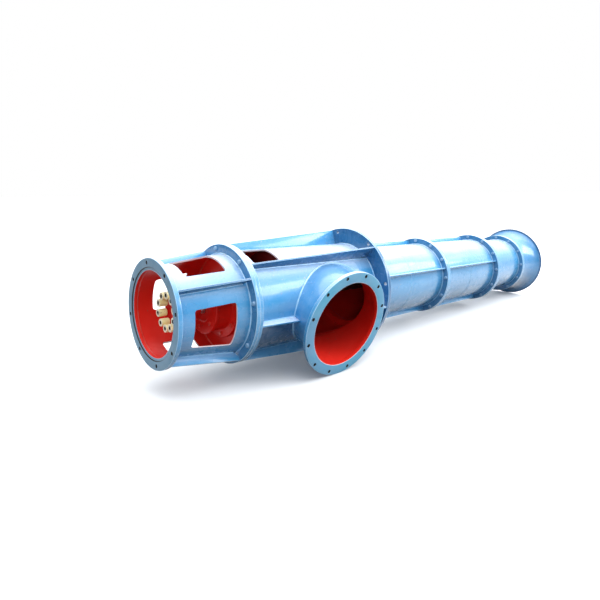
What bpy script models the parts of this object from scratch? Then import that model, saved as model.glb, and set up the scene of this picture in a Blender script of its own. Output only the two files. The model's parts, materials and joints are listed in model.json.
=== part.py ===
"""Vertical axial flow pump, laid on its side as it leaves the shop.

The pump is drawn in its own frame first: +Z runs up the shaft to the motor end, the
origin is the centre of the base flange's underside, and the outlet points along -Y.
An empty then lays the whole pump down on the three rims that touch the floor: the base
flange, the suction bell and the discharge flange.
"""
import math

import bmesh
import bpy
from mathutils import Matrix, Vector

MM = 0.001

# Distances along the shaft, from the base flange's underside, up towards the motor
MOTOR_FACE_Z = 1650 * MM
STAND_JOINT_Z = 1148 * MM
BASE_TOP_Z = 30 * MM
COLUMN_JOINT_Z = -986 * MM
BOWL_JOINT_Z = -1929 * MM
BELL_JOINT_Z = -2555 * MM
BELL_RIM_Z = -2864 * MM
OUTLET_Z = 565 * MM

# Flanges
MOTOR_FLANGE_R = 330 * MM
MOTOR_FLANGE_T = 28 * MM
MOTOR_BORE_R = 257 * MM
SPIGOT_R = 275 * MM
SPIGOT_DEPTH = 6 * MM
STAND_FLANGE_R = 387 * MM
STAND_FLANGE_T = 25 * MM
PLATE_BORE_R = 90 * MM
BASE_FLANGE_R = 460 * MM
BASE_RECESS_R = 348 * MM
BASE_RECESS_DEPTH = 3 * MM
COLUMN_FLANGE_R = 343 * MM
COLUMN_FLANGE_T = 25 * MM
BELL_FLANGE_R = 315 * MM
BELL_RIM_R = 378 * MM
BELL_FLANGE_T = 20 * MM
OUTLET_FLANGE_R = 359 * MM
OUTLET_FLANGE_T = 25 * MM
OUTLET_FACE = 562 * MM

# Holes in the flanges that other plant bolts to
BOLT_HOLE_R = 12 * MM
HOLE_OVERRUN = 4 * MM
MOTOR_BOLT_CIRCLE_R = 302 * MM
BASE_BOLT_CIRCLE_R = 432 * MM
OUTLET_BOLT_CIRCLE_R = 335 * MM
MOTOR_HOLES = 8
BASE_HOLES = 8
OUTLET_HOLES = 12

# Tubes: outside radius and wall
STAND_TOP_R = 275 * MM
STAND_FOOT_R = 326 * MM
BODY_R = 338 * MM
COLUMN_R = 290 * MM
BOWL_R = 267 * MM
TUBE_WALL = 10 * MM
COLUMN_WALL = 8 * MM

# The branch is a hood: a long oval on the body that turns round towards the flange.
# Its oval is measured at this reach from the shaft.
BRANCH_ROOT_REACH = 200 * MM
BRANCH_ROOT_Z = 434 * MM
BRANCH_ROOT_HALF_LENGTH = 381 * MM
BRANCH_ROOT_HALF_WIDTH = 284 * MM
BRANCH_END_R = 298 * MM
WATER_WAY_REACH = 80 * MM

# Windows of the stand: width at the top, width at the foot, and height. The back and the
# lower one are smaller. Then the hand hole, in the neck of the discharge body.
STAND_WINDOW_MID_Z = 1394 * MM
LARGE_WINDOW = (232 * MM, 278 * MM, 261 * MM)
SMALL_WINDOW = (204 * MM, 250 * MM, 234 * MM)
STAND_WINDOWS = (LARGE_WINDOW, LARGE_WINDOW, SMALL_WINDOW, SMALL_WINDOW)
NECK_LOW_Z = 835 * MM
HAND_HOLE_ANGLE = 84.2
HAND_HOLE_MID_Z = 952 * MM
HAND_HOLE_WIDTH = 192 * MM
HAND_HOLE_HEIGHT = 214 * MM
CORNER_R = 16 * MM

# Ribs
RIB_T = 12 * MM
RIB_SNIPE = 30 * MM
COLUMN_RIB_T = 10 * MM
COLUMN_RIB_R = 329 * MM
RIB_MARGIN = 3 * MM

# Shaft line
SHAFT_R = 40 * MM
SHAFT_TOP_Z = 1493 * MM
SHAFT_END_Z = -2500 * MM
PIN_CIRCLE_R = 102 * MM
PIN_COUNT = 10
PIN_FIRST_ANGLE = 25.6
BUSH_R = 24 * MM
BUSH_HOLE_R = 12 * MM
BUSH_HOLE_DEPTH = 16 * MM
BUSH_LENGTH = 68 * MM
COUPLING_R = 140 * MM
COUPLING_FACE_Z = 1495 * MM
COUPLING_T = 40 * MM
COUPLING_HUB_R = 75 * MM
COUPLING_HUB_END_Z = 1365 * MM

# Bearing housing, stuffing box and the warped plate that closes the water way
HOUSING_FACE_Z = 1318 * MM
HOUSING_R = 170 * MM
HOUSING_BODY_R = 160 * MM
HOUSING_FOOT_R = 212 * MM
HOUSING_WALL = 22 * MM
DEFLECTOR_Z = 815 * MM
DEFLECTOR_T = 10 * MM
DEFLECTOR_FLAT_R = 120 * MM
DEFLECTOR_SLOPE = 0.1
STUFFING_BOX_R = 70 * MM
STUFFING_FLANGE_R = 108 * MM
STUFFING_FLANGE_T = 20 * MM
STUFFING_BOX_TOP_Z = 1000 * MM
STUFFING_BOX_FOOT_Z = 790 * MM

# Bowl, guide vanes and impeller
VANE_COUNT = 6
VANE_T = 9 * MM
VANE_TOP_Z = -2010 * MM
VANE_END_Z = -2270 * MM
VANE_SWEEP = 34.0
HUB_R = 112 * MM
HUB_TOP_R = 62 * MM
HUB_TOP_Z = -1975 * MM
HUB_END_Z = -2318 * MM
BLADE_COUNT = 4
BLADE_T = 12 * MM
BLADE_MID_Z = -2440 * MM
BLADE_HALF_HEIGHT = 62 * MM
BLADE_HALF_SWEEP = 36.0
IMPELLER_TOP_Z = -2332 * MM
IMPELLER_END_Z = -2550 * MM
NOSE_END_Z = -2690 * MM
TIP_CLEARANCE = 5.5 * MM

# Fits
GAP = 0.3 * MM
RUNNING_GAP = 0.5 * MM
ROOT_SINK = 12 * MM
MERGE_DISTANCE = 0.01 * MM

# Facets
FLANGE_SIDES = 48
BRANCH_SIDES = 40
HUB_SIDES = 32
SHAFT_SIDES = 24
SMALL_SIDES = 10
CORNER_STEPS = 4
BELL_STEPS = 6
NOSE_STEPS = 4
BLADE_STEPS = 6
SHARP_ANGLE = math.radians(35)
SETTLE_ROUNDS = 12

# Colours of the paint and metal: red, green, blue, roughness, metallic
BLUE = (0.11, 0.36, 0.62, 0.28, 0.0)
FACE_BLUE = (0.20, 0.38, 0.52, 0.38, 0.0)
RED = (0.62, 0.03, 0.02, 0.35, 0.0)
STEEL = (0.42, 0.42, 0.43, 0.32, 1.0)
BRONZE = (0.45, 0.32, 0.16, 0.40, 1.0)


def clear_scene():
    """Remove every object, so that a second run starts clean."""
    for old in list(bpy.data.objects):
        bpy.data.objects.remove(old, do_unlink=True)


def painted(name, paint):
    """Make one Principled material from a colour, roughness and metallic value."""
    red, green, blue, roughness, metallic = paint
    result = bpy.data.materials.new(name)
    result.use_nodes = True
    shader = result.node_tree.nodes["Principled BSDF"]
    shader.inputs["Base Color"].default_value = (red, green, blue, 1.0)
    shader.inputs["Roughness"].default_value = roughness
    shader.inputs["Metallic"].default_value = metallic
    return result


def direction(angle):
    """Unit vector round the shaft: 0 degrees at the outlet, 90 at the upper side."""
    turn = math.radians(angle)
    return Vector((math.sin(turn), -math.cos(turn), 0.0))


def add_object(name, mesh, paint, parent):
    """Put a mesh in the scene with its own material, smooth over its round faces."""
    mesh.shade_smooth()
    mesh.set_sharp_from_angle(angle=SHARP_ANGLE)
    result = bpy.data.objects.new(name, mesh)
    bpy.context.collection.objects.link(result)
    result.parent = parent
    if paint:
        mesh.materials.append(painted(name, paint))
    return result


def mesh_from(name, shape):
    """Turn a bmesh into a mesh with its faces pointing out."""
    bmesh.ops.recalc_face_normals(shape, faces=shape.faces)
    mesh = bpy.data.meshes.new(name)
    shape.to_mesh(mesh)
    shape.free()
    return mesh


def turned_mesh(name, outline, sides):
    """Spin a closed outline of (radius, height) points once round the Z axis."""
    shape = bmesh.new()
    points = [shape.verts.new((radius, 0.0, height)) for radius, height in outline]
    edges = [
        shape.edges.new((points[index - 1], points[index]))
        for index in range(len(points))
    ]
    bmesh.ops.spin(
        shape,
        geom=points + edges,
        axis=(0, 0, 1),
        cent=(0, 0, 0),
        angle=math.tau,
        steps=sides,
        use_merge=True,
    )
    bmesh.ops.remove_doubles(shape, verts=shape.verts, dist=MERGE_DISTANCE)
    return mesh_from(name, shape)


def ring_outline(inner, outer, low, high):
    """Outline of a plain ring or tube."""
    return [(inner, low), (outer, low), (outer, high), (inner, high)]


def flat_radius(radius, sides):
    """Distance from the axis to the flats of a faceted round."""
    return radius * math.cos(math.pi / sides)


def running_bore(sides):
    """Bore radius whose flats clear the shaft's corners by the running gap."""
    return (SHAFT_R + RUNNING_GAP) / math.cos(math.pi / sides)


def prism_mesh(name, outline, depth_from, depth_to):
    """Extrude a flat outline of (x, z) points along -Y between two depths."""
    shape = bmesh.new()
    near = [shape.verts.new((x, -depth_from, z)) for x, z in outline]
    face = shape.faces.new(near)
    grown = bmesh.ops.extrude_face_region(shape, geom=[face])
    far = [item for item in grown["geom"] if isinstance(item, bmesh.types.BMVert)]
    bmesh.ops.translate(shape, verts=far, vec=(0.0, depth_from - depth_to, 0.0))
    return mesh_from(name, shape)


def rounded_outline(top_width, foot_width, height, middle_z):
    """Upright shape with round corners, centred on x = 0, wider or not at its foot."""
    points = []
    for corner in range(4):
        side_x = 1 if corner in (0, 3) else -1
        side_z = 1 if corner in (0, 1) else -1
        width = top_width if side_z > 0 else foot_width
        centre_x = side_x * (width / 2 - CORNER_R)
        centre_z = middle_z + side_z * (height / 2 - CORNER_R)
        for step in range(CORNER_STEPS + 1):
            turn = math.pi / 2 * (corner + step / CORNER_STEPS)
            x = centre_x + CORNER_R * math.cos(turn)
            z = centre_z + CORNER_R * math.sin(turn)
            points.append((x, z))
    return points


def add_cutter(name, mesh, parent, angle=0.0):
    """Add a shape that only cuts or joins, turned round the shaft by an angle."""
    cutter = add_object(name, mesh, None, parent)
    cutter.rotation_euler = (0.0, 0.0, math.radians(angle))
    cutter.hide_render = True
    cutter.display_type = "WIRE"
    return cutter


def combine(target, cutter, operation):
    """Give an object a Boolean modifier."""
    modifier = target.modifiers.new(cutter.name, "BOOLEAN")
    modifier.operation = operation
    modifier.solver = "EXACT"
    modifier.object = cutter


def hole_ring_mesh(name, circle_r, count, low, high):
    """Round cutters for a bolt circle, straddling the outlet's centreline."""
    shape = bmesh.new()
    for index in range(count):
        place = direction(360 / count * (index + 0.5)) * circle_r
        place.z = (low + high) / 2
        bmesh.ops.create_cone(
            shape,
            cap_ends=True,
            segments=SMALL_SIDES,
            radius1=BOLT_HOLE_R,
            radius2=BOLT_HOLE_R,
            depth=high - low + HOLE_OVERRUN,
            matrix=Matrix.Translation(place),
        )
    return mesh_from(name, shape)


def add_ring(name, inner, outer, low, high, paint, parent):
    """Add a plain ring or tube round the shaft."""
    outline = ring_outline(inner, outer, low, high)
    mesh = turned_mesh(name, outline, FLANGE_SIDES)
    return add_object(name, mesh, paint, parent)


def add_rib(name, outline, thickness, angle, parent):
    """Add one flat rib: its outline gives (radius, height) points."""
    half = thickness / 2
    mesh = prism_mesh(name, outline, -half, half)
    rib = add_object(name, mesh, BLUE, parent)
    rib.rotation_euler = (0.0, 0.0, math.radians(angle - 90.0))
    return rib


def build_stand(pump):
    """Motor stand: flange for the motor, tube with four windows, foot plate, ribs."""
    flange_low = MOTOR_FACE_Z - MOTOR_FLANGE_T
    spigot_z = MOTOR_FACE_Z - SPIGOT_DEPTH
    outline = [
        (MOTOR_BORE_R, flange_low),
        (MOTOR_FLANGE_R, flange_low),
        (MOTOR_FLANGE_R, MOTOR_FACE_Z),
        (SPIGOT_R, MOTOR_FACE_Z),
        (SPIGOT_R, spigot_z),
        (MOTOR_BORE_R, spigot_z),
    ]
    mesh = turned_mesh("motor_flange", outline, FLANGE_SIDES)
    flange = add_object("motor_flange", mesh, FACE_BLUE, pump)
    holes = hole_ring_mesh(
        "motor_holes", MOTOR_BOLT_CIRCLE_R, MOTOR_HOLES, flange_low, MOTOR_FACE_Z
    )
    combine(flange, add_cutter("motor_holes", holes, pump), "DIFFERENCE")

    plate_top = STAND_JOINT_Z + STAND_FLANGE_T
    add_ring(
        "stand_foot_plate",
        PLATE_BORE_R,
        STAND_FLANGE_R,
        STAND_JOINT_Z + GAP,
        plate_top,
        BLUE,
        pump,
    )
    build_stand_shell(pump, plate_top + GAP, flange_low - GAP)


def build_stand_shell(pump, low, high):
    """Cone of the stand with its four windows, and a rib between each two windows."""
    outline = [
        (STAND_FOOT_R - TUBE_WALL, low),
        (STAND_FOOT_R, low),
        (STAND_TOP_R, high),
        (STAND_TOP_R - TUBE_WALL, high),
    ]
    mesh = turned_mesh("stand_shell", outline, FLANGE_SIDES)
    shell = add_object("stand_shell", mesh, BLUE, pump)
    for index, size in enumerate(STAND_WINDOWS):
        name = f"stand_window_{index + 1}"
        window = rounded_outline(*size, STAND_WINDOW_MID_Z)
        mesh = prism_mesh(name, window, STAND_TOP_R / 2, STAND_FOOT_R + TUBE_WALL)
        combine(shell, add_cutter(name, mesh, pump, 90.0 * index), "DIFFERENCE")

    slope = (STAND_TOP_R - STAND_FOOT_R) / (high - low)
    foot_r = STAND_FOOT_R + GAP
    rib_outline = [
        (foot_r + RIB_SNIPE, low),
        (STAND_FLANGE_R - RIB_MARGIN, low),
        (MOTOR_FLANGE_R - RIB_MARGIN, high),
        (STAND_TOP_R + GAP, high),
        (foot_r + slope * RIB_SNIPE, low + RIB_SNIPE),
    ]
    for index in range(4):
        name = f"stand_rib_{index + 1}"
        add_rib(name, rib_outline, RIB_T, 45.0 + 90.0 * index, pump)


def build_discharge_body(pump):
    """Discharge body: tube with a branch, neck with a hand hole, flanges and ribs."""
    flange_low = STAND_JOINT_Z - STAND_FLANGE_T
    body_low = BASE_TOP_Z + GAP
    body_high = flange_low - GAP
    body_inner = BODY_R - TUBE_WALL
    add_ring(
        "discharge_top_flange",
        body_inner,
        STAND_FLANGE_R,
        flange_low,
        STAND_JOINT_Z,
        BLUE,
        pump,
    )
    shell = add_ring(
        "discharge_shell", body_inner, BODY_R, body_low, NECK_LOW_Z, BLUE, pump
    )
    neck_low = NECK_LOW_Z + GAP
    neck = add_ring("discharge_neck", body_inner, BODY_R, neck_low, body_high, BLUE, pump)
    hand_hole = rounded_outline(
        HAND_HOLE_WIDTH, HAND_HOLE_WIDTH, HAND_HOLE_HEIGHT, HAND_HOLE_MID_Z
    )
    mesh = prism_mesh("hand_hole", hand_hole, BODY_R / 2, BODY_R + TUBE_WALL)
    combine(neck, add_cutter("hand_hole", mesh, pump, HAND_HOLE_ANGLE), "DIFFERENCE")
    inside = branch_rings(TUBE_WALL, WATER_WAY_REACH, BODY_R + TUBE_WALL)
    water_way = add_cutter("water_way", loft_mesh("water_way", inside), pump)
    combine(shell, water_way, "DIFFERENCE")
    build_branch(pump)
    build_body_ribs(pump, body_low, body_high)


def build_branch(pump):
    """Branch, cut to sit on the body, and the flange at its end."""
    flange_back = OUTLET_FACE - OUTLET_FLANGE_T
    outside = branch_rings(0.0, WATER_WAY_REACH, flange_back - GAP)
    inside = branch_rings(TUBE_WALL, WATER_WAY_REACH, flange_back - GAP)
    mesh = loft_mesh("discharge_branch", outside + list(reversed(inside)), closed=True)
    branch = add_object("discharge_branch", mesh, BLUE, pump)
    outline = ring_outline(0.0, BODY_R + GAP, -BODY_R, STAND_JOINT_Z)
    saddle = turned_mesh("branch_saddle", outline, FLANGE_SIDES)
    combine(branch, add_cutter("branch_saddle", saddle, pump), "DIFFERENCE")

    bore = BRANCH_END_R - TUBE_WALL
    outline = ring_outline(bore, OUTLET_FLANGE_R, flange_back, OUTLET_FACE)
    mesh = turned_mesh("discharge_flange", outline, FLANGE_SIDES)
    flange = add_object("discharge_flange", mesh, FACE_BLUE, pump)
    aim_at_outlet(flange)
    holes = hole_ring_mesh(
        "outlet_holes", OUTLET_BOLT_CIRCLE_R, OUTLET_HOLES, flange_back, OUTLET_FACE
    )
    cutter = add_cutter("outlet_holes", holes, pump)
    aim_at_outlet(cutter)
    combine(flange, cutter, "DIFFERENCE")


def branch_size(reach):
    """Middle height, half length and half width of the branch at one reach."""
    end = OUTLET_FACE - OUTLET_FLANGE_T
    share = (reach - BRANCH_ROOT_REACH) / (end - BRANCH_ROOT_REACH)
    middle = BRANCH_ROOT_Z + share * (OUTLET_Z - BRANCH_ROOT_Z)
    length = BRANCH_ROOT_HALF_LENGTH + share * (BRANCH_END_R - BRANCH_ROOT_HALF_LENGTH)
    width = BRANCH_ROOT_HALF_WIDTH + share * (BRANCH_END_R - BRANCH_ROOT_HALF_WIDTH)
    return middle, length, width


def branch_rings(inset, near, far):
    """Two rings of points on the branch, or on a surface inset from it."""
    rings = []
    for reach in (near, far):
        middle, length, width = branch_size(reach)
        ring = []
        for index in range(BRANCH_SIDES):
            turn = math.tau * index / BRANCH_SIDES
            x = (width - inset) * math.sin(turn)
            z = middle + (length - inset) * math.cos(turn)
            ring.append((x, -reach, z))
        rings.append(ring)
    return rings


def loft_mesh(name, rings, closed=False):
    """Skin over rings of points: a plug with two end caps, or closed into a tube."""
    shape = bmesh.new()
    loops = [[shape.verts.new(point) for point in ring] for ring in rings]
    pairs = list(zip(loops, loops[1:]))
    if closed:
        pairs.append((loops[-1], loops[0]))
    else:
        shape.faces.new(loops[0])
        shape.faces.new(loops[-1])
    for first, second in pairs:
        for index in range(len(first)):
            corners = (first[index - 1], first[index], second[index], second[index - 1])
            shape.faces.new(corners)
    bmesh.ops.triangulate(shape, faces=shape.faces)
    return mesh_from(name, shape)


def aim_at_outlet(item):
    """Turn a piece drawn round Z so that it runs out along the branch."""
    item.location = (0.0, 0.0, OUTLET_Z)
    item.rotation_euler = (math.pi / 2, 0.0, 0.0)


def build_body_ribs(pump, low, high):
    """Ribs every 60 degrees, with the one over the outlet stopped by the branch."""
    inner = BODY_R + GAP
    top_r = STAND_FLANGE_R - RIB_MARGIN
    foot_r = BASE_FLANGE_R - RIB_MARGIN

    def edge_r(height):
        return foot_r + (top_r - foot_r) * (height - low) / (high - low)

    def span(foot, head):
        return [
            (inner, foot),
            (edge_r(foot), foot),
            (edge_r(head), head),
            (inner, head),
        ]

    for index in range(1, 6):
        add_rib(f"discharge_rib_{index}", span(low, high), RIB_T, 60.0 * index, pump)

    def beside_branch(side, reach):
        middle, length, _ = branch_size(reach)
        return middle + side * (length + 2 * GAP)

    under_r = edge_r(beside_branch(-1, foot_r))
    over_r = edge_r(beside_branch(1, top_r))
    lower = [
        (inner, low),
        (foot_r, low),
        (under_r, beside_branch(-1, under_r)),
        (inner, beside_branch(-1, inner)),
    ]
    upper = [
        (inner, beside_branch(1, inner)),
        (over_r, beside_branch(1, over_r)),
        (top_r, high),
        (inner, high),
    ]
    add_rib("outlet_rib_lower", lower, RIB_T, 0.0, pump)
    add_rib("outlet_rib_upper", upper, RIB_T, 0.0, pump)


def build_base(pump):
    """Base flange, which the pump hangs on, with a recess for the column's flange."""
    inner = COLUMN_R - COLUMN_WALL
    outline = [
        (inner, BASE_RECESS_DEPTH),
        (BASE_RECESS_R, BASE_RECESS_DEPTH),
        (BASE_RECESS_R, 0.0),
        (BASE_FLANGE_R, 0.0),
        (BASE_FLANGE_R, BASE_TOP_Z),
        (inner, BASE_TOP_Z),
    ]
    mesh = turned_mesh("base_flange", outline, FLANGE_SIDES)
    flange = add_object("base_flange", mesh, BLUE, pump)
    holes = hole_ring_mesh(
        "base_holes", BASE_BOLT_CIRCLE_R, BASE_HOLES, 0.0, BASE_TOP_Z
    )
    combine(flange, add_cutter("base_holes", holes, pump), "DIFFERENCE")


def build_column(pump, number, high, low, seat):
    """One column pipe: a tube between two flanges, with four ribs along it.

    Its top flange reaches by the seat into the piece above.
    """
    inner = COLUMN_R - COLUMN_WALL
    tube_high = high - COLUMN_FLANGE_T - GAP
    tube_low = low + COLUMN_FLANGE_T + GAP
    name = f"column_{number}"
    add_ring(
        f"{name}_top_flange",
        inner,
        COLUMN_FLANGE_R,
        high - COLUMN_FLANGE_T,
        high + seat - GAP,
        BLUE,
        pump,
    )
    add_ring(f"{name}_tube", inner, COLUMN_R, tube_low, tube_high, BLUE, pump)
    add_ring(
        f"{name}_bottom_flange",
        inner,
        COLUMN_FLANGE_R,
        low,
        low + COLUMN_FLANGE_T,
        BLUE,
        pump,
    )
    outline = ring_outline(COLUMN_R + GAP, COLUMN_RIB_R, tube_low, tube_high)
    for index in range(4):
        rib_name = f"{name}_rib_{index + 1}"
        add_rib(rib_name, outline, COLUMN_RIB_T, 30.0 + 90.0 * index, pump)


def bell_outline():
    """Outline of the suction bell: a horn that opens as a quarter ellipse."""
    top = BELL_JOINT_Z - BELL_FLANGE_T - GAP
    flare = BELL_RIM_Z - top
    rim_r = BELL_RIM_R
    outer = []
    for step in range(BELL_STEPS + 1):
        share = step / BELL_STEPS
        opening = 1.0 - math.cos(share * math.pi / 2)
        along = math.sin(share * math.pi / 2)
        radius = BOWL_R + (rim_r - BOWL_R) * opening
        outer.append((radius, top + flare * along))
    return outer


def build_bowl(pump):
    """Bowl with its guide vanes, and the suction bell under it."""
    inner = BOWL_R - TUBE_WALL
    top_flange_low = BOWL_JOINT_Z - COLUMN_FLANGE_T
    bottom_flange_high = BELL_JOINT_Z + BELL_FLANGE_T
    add_ring(
        "bowl_top_flange",
        inner,
        COLUMN_FLANGE_R,
        top_flange_low,
        BOWL_JOINT_Z - GAP,
        BLUE,
        pump,
    )
    add_ring(
        "bowl_shell",
        inner,
        BOWL_R,
        bottom_flange_high + GAP,
        top_flange_low - GAP,
        BLUE,
        pump,
    )
    add_ring(
        "bowl_bottom_flange",
        inner,
        BELL_FLANGE_R,
        BELL_JOINT_Z,
        bottom_flange_high,
        BLUE,
        pump,
    )
    add_ring(
        "bell_flange",
        inner,
        BELL_FLANGE_R,
        BELL_JOINT_Z - BELL_FLANGE_T,
        BELL_JOINT_Z - GAP,
        BLUE,
        pump,
    )
    outside = bell_outline()
    inside = [(radius - COLUMN_WALL, height) for radius, height in reversed(outside)]
    mesh = turned_mesh("suction_bell", outside + inside, FLANGE_SIDES)
    add_object("suction_bell", mesh, BLUE, pump)
    build_guide_vanes(pump, flat_radius(inner, FLANGE_SIDES) - GAP)


def blade_side(shape, rows, start, radii, offset):
    """One face of a twisted plate: a line of points from root to tip for each row."""
    last = len(rows) - 1
    lines = []
    for row, (angle, height) in enumerate(rows):
        before_angle, before_height = rows[max(row - 1, 0)]
        after_angle, after_height = rows[min(row + 1, last)]
        run = math.radians(after_angle - before_angle)
        drop = after_height - before_height
        line = []
        for radius in radii:
            shift = offset / math.hypot(run * radius, drop)
            turn = math.degrees(-drop * shift / radius)
            place = direction(start + angle + turn) * radius
            place.z = height + run * radius * shift
            line.append(shape.verts.new(place))
        lines.append(line)
    return lines


def close_blade(shape, left, right):
    """Faces of one twisted plate between its two sides."""
    for here in range(len(left) - 1):
        after = here + 1
        for side in (left, right):
            corners = (side[here][0], side[here][1], side[after][1], side[after][0])
            shape.faces.new(corners)
        for end in (0, 1):
            corners = (left[here][end], right[here][end], right[after][end], left[after][end])
            shape.faces.new(corners)
    for row in (0, -1):
        shape.faces.new((left[row][0], left[row][1], right[row][1], right[row][0]))


def swept_blades_mesh(name, radii, count, thickness, rows):
    """Twisted plates round the shaft: rows give (angle, height) down the camber line."""
    shape = bmesh.new()
    for index in range(count):
        start = 360.0 / count * index
        left = blade_side(shape, rows, start, radii, -thickness / 2)
        right = blade_side(shape, rows, start, radii, thickness / 2)
        close_blade(shape, left, right)
    bmesh.ops.triangulate(shape, faces=shape.faces)
    return mesh_from(name, shape)


def build_guide_vanes(pump, tip_r):
    """Guide vane hub, which also carries the lower shaft bearing."""
    bore = running_bore(HUB_SIDES)
    outline = [
        (bore, HUB_END_Z),
        (HUB_R, HUB_END_Z),
        (HUB_R, VANE_END_Z),
        (HUB_TOP_R, HUB_TOP_Z),
        (bore, HUB_TOP_Z),
    ]
    mesh = turned_mesh("guide_vanes", outline, HUB_SIDES)
    hub = add_object("guide_vanes", mesh, RED, pump)
    rows = []
    for step in range(BLADE_STEPS + 1):
        share = step / BLADE_STEPS
        height = VANE_TOP_Z + (VANE_END_Z - VANE_TOP_Z) * share
        rows.append((VANE_SWEEP * share * share, height))
    root_r = HUB_TOP_R - ROOT_SINK
    radii = (root_r, tip_r)
    vanes = swept_blades_mesh("vane_set", radii, VANE_COUNT, VANE_T, rows)
    combine(hub, add_cutter("vane_set", vanes, pump), "UNION")


def build_closing_plate(pump):
    """Warped plate over the water way, and the stuffing box that stands in it."""
    rim_r = BODY_R - TUBE_WALL - GAP
    bore = STUFFING_BOX_R + GAP
    low = DEFLECTOR_Z - DEFLECTOR_T
    outline = [
        (bore, low),
        (DEFLECTOR_FLAT_R, low),
        (rim_r, low),
        (rim_r, DEFLECTOR_Z),
        (DEFLECTOR_FLAT_R, DEFLECTOR_Z),
        (bore, DEFLECTOR_Z),
    ]
    mesh = turned_mesh("closing_plate", outline, FLANGE_SIDES)
    for vertex in mesh.vertices:
        if vertex.co.xy.length > DEFLECTOR_FLAT_R + GAP:
            vertex.co.z -= DEFLECTOR_SLOPE * vertex.co.y
    add_object("closing_plate", mesh, RED, pump)

    shaft_bore = running_bore(HUB_SIDES)
    foot_top = DEFLECTOR_Z + GAP
    flange_top = foot_top + STUFFING_FLANGE_T
    gland_low = STUFFING_BOX_TOP_Z - STUFFING_FLANGE_T
    outline = [
        (shaft_bore, STUFFING_BOX_FOOT_Z),
        (STUFFING_BOX_R, STUFFING_BOX_FOOT_Z),
        (STUFFING_BOX_R, foot_top),
        (STUFFING_FLANGE_R, foot_top),
        (STUFFING_FLANGE_R, flange_top),
        (STUFFING_BOX_R, flange_top),
        (STUFFING_BOX_R, gland_low),
        (STUFFING_FLANGE_R, gland_low),
        (STUFFING_FLANGE_R, STUFFING_BOX_TOP_Z),
        (shaft_bore, STUFFING_BOX_TOP_Z),
    ]
    mesh = turned_mesh("stuffing_box", outline, HUB_SIDES)
    add_object("stuffing_box", mesh, RED, pump)


def build_bearing_housing(pump):
    """Bearing housing on the stand's foot plate: a drum with a cover and a foot."""
    foot_z = STAND_JOINT_Z + STAND_FLANGE_T + GAP
    foot_top = foot_z + HOUSING_WALL
    rim_low = HOUSING_FACE_Z - HOUSING_WALL
    bore = running_bore(HUB_SIDES)
    cavity_r = HOUSING_BODY_R - HOUSING_WALL
    outline = [
        (cavity_r, foot_z),
        (HOUSING_FOOT_R, foot_z),
        (HOUSING_FOOT_R, foot_top),
        (HOUSING_BODY_R, foot_top),
        (HOUSING_BODY_R, rim_low),
        (HOUSING_R, rim_low),
        (HOUSING_R, HOUSING_FACE_Z),
        (bore, HOUSING_FACE_Z),
        (bore, rim_low),
        (cavity_r, rim_low),
    ]
    mesh = turned_mesh("bearing_housing", outline, HUB_SIDES)
    add_object("bearing_housing", mesh, RED, pump)


def build_rotor(rotor):
    """Everything that turns: shaft, pump half of the coupling, impeller."""
    outline = ring_outline(0.0, SHAFT_R, SHAFT_END_Z, SHAFT_TOP_Z)
    mesh = turned_mesh("shaft", outline, SHAFT_SIDES)
    add_object("shaft", mesh, STEEL, rotor)
    build_coupling(rotor)
    build_impeller(rotor)


def build_coupling(rotor):
    """Pump half of a pin coupling, with its bushes standing towards the motor."""
    bore = SHAFT_R + GAP
    disc_low = COUPLING_FACE_Z - COUPLING_T
    outline = [
        (bore, COUPLING_HUB_END_Z),
        (COUPLING_HUB_R, COUPLING_HUB_END_Z),
        (COUPLING_HUB_R, disc_low),
        (COUPLING_R, disc_low),
        (COUPLING_R, COUPLING_FACE_Z),
        (bore, COUPLING_FACE_Z),
    ]
    mesh = turned_mesh("coupling_half", outline, SHAFT_SIDES)
    disc = add_object("coupling_half", mesh, RED, rotor)
    bush_end = COUPLING_FACE_Z + BUSH_LENGTH
    outline = [
        (0.0, COUPLING_FACE_Z - ROOT_SINK),
        (BUSH_R, COUPLING_FACE_Z - ROOT_SINK),
        (BUSH_R, bush_end),
        (BUSH_HOLE_R, bush_end),
        (BUSH_HOLE_R, bush_end - BUSH_HOLE_DEPTH),
        (0.0, bush_end - BUSH_HOLE_DEPTH),
    ]
    bush = turned_mesh("coupling_bush", outline, SMALL_SIDES)
    for index in range(PIN_COUNT):
        name = f"coupling_bush_{index + 1}"
        angle = PIN_FIRST_ANGLE + 360.0 / PIN_COUNT * index
        cutter = add_cutter(name, bush, rotor)
        cutter.location = direction(angle) * PIN_CIRCLE_R
        combine(disc, cutter, "UNION")


def build_impeller(rotor):
    """Axial flow impeller: a hub with a nose and twisted blades."""
    bore = SHAFT_R + GAP
    seat_z = SHAFT_END_Z - GAP
    outline = [
        (bore, seat_z),
        (bore, IMPELLER_TOP_Z),
        (HUB_R, IMPELLER_TOP_Z),
        (HUB_R, IMPELLER_END_Z),
    ]
    for step in range(1, NOSE_STEPS):
        turn = math.pi / 2 * step / NOSE_STEPS
        height = IMPELLER_END_Z + (NOSE_END_Z - IMPELLER_END_Z) * math.sin(turn)
        outline.append((HUB_R * math.cos(turn), height))
    outline += [(0.0, NOSE_END_Z), (0.0, seat_z)]
    mesh = turned_mesh("impeller", outline, HUB_SIDES)
    hub = add_object("impeller", mesh, BRONZE, rotor)
    rows = []
    for step in range(BLADE_STEPS + 1):
        share = 2.0 * step / BLADE_STEPS - 1.0
        rows.append((BLADE_HALF_SWEEP * share, BLADE_MID_Z + BLADE_HALF_HEIGHT * share))
    root_r = HUB_R - ROOT_SINK
    tip_r = flat_radius(BOWL_R - TUBE_WALL, FLANGE_SIDES) - TIP_CLEARANCE
    radii = (root_r, tip_r)
    blades = swept_blades_mesh("blade_set", radii, BLADE_COUNT, BLADE_T, rows)
    combine(hub, add_cutter("blade_set", blades, rotor), "UNION")


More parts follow.
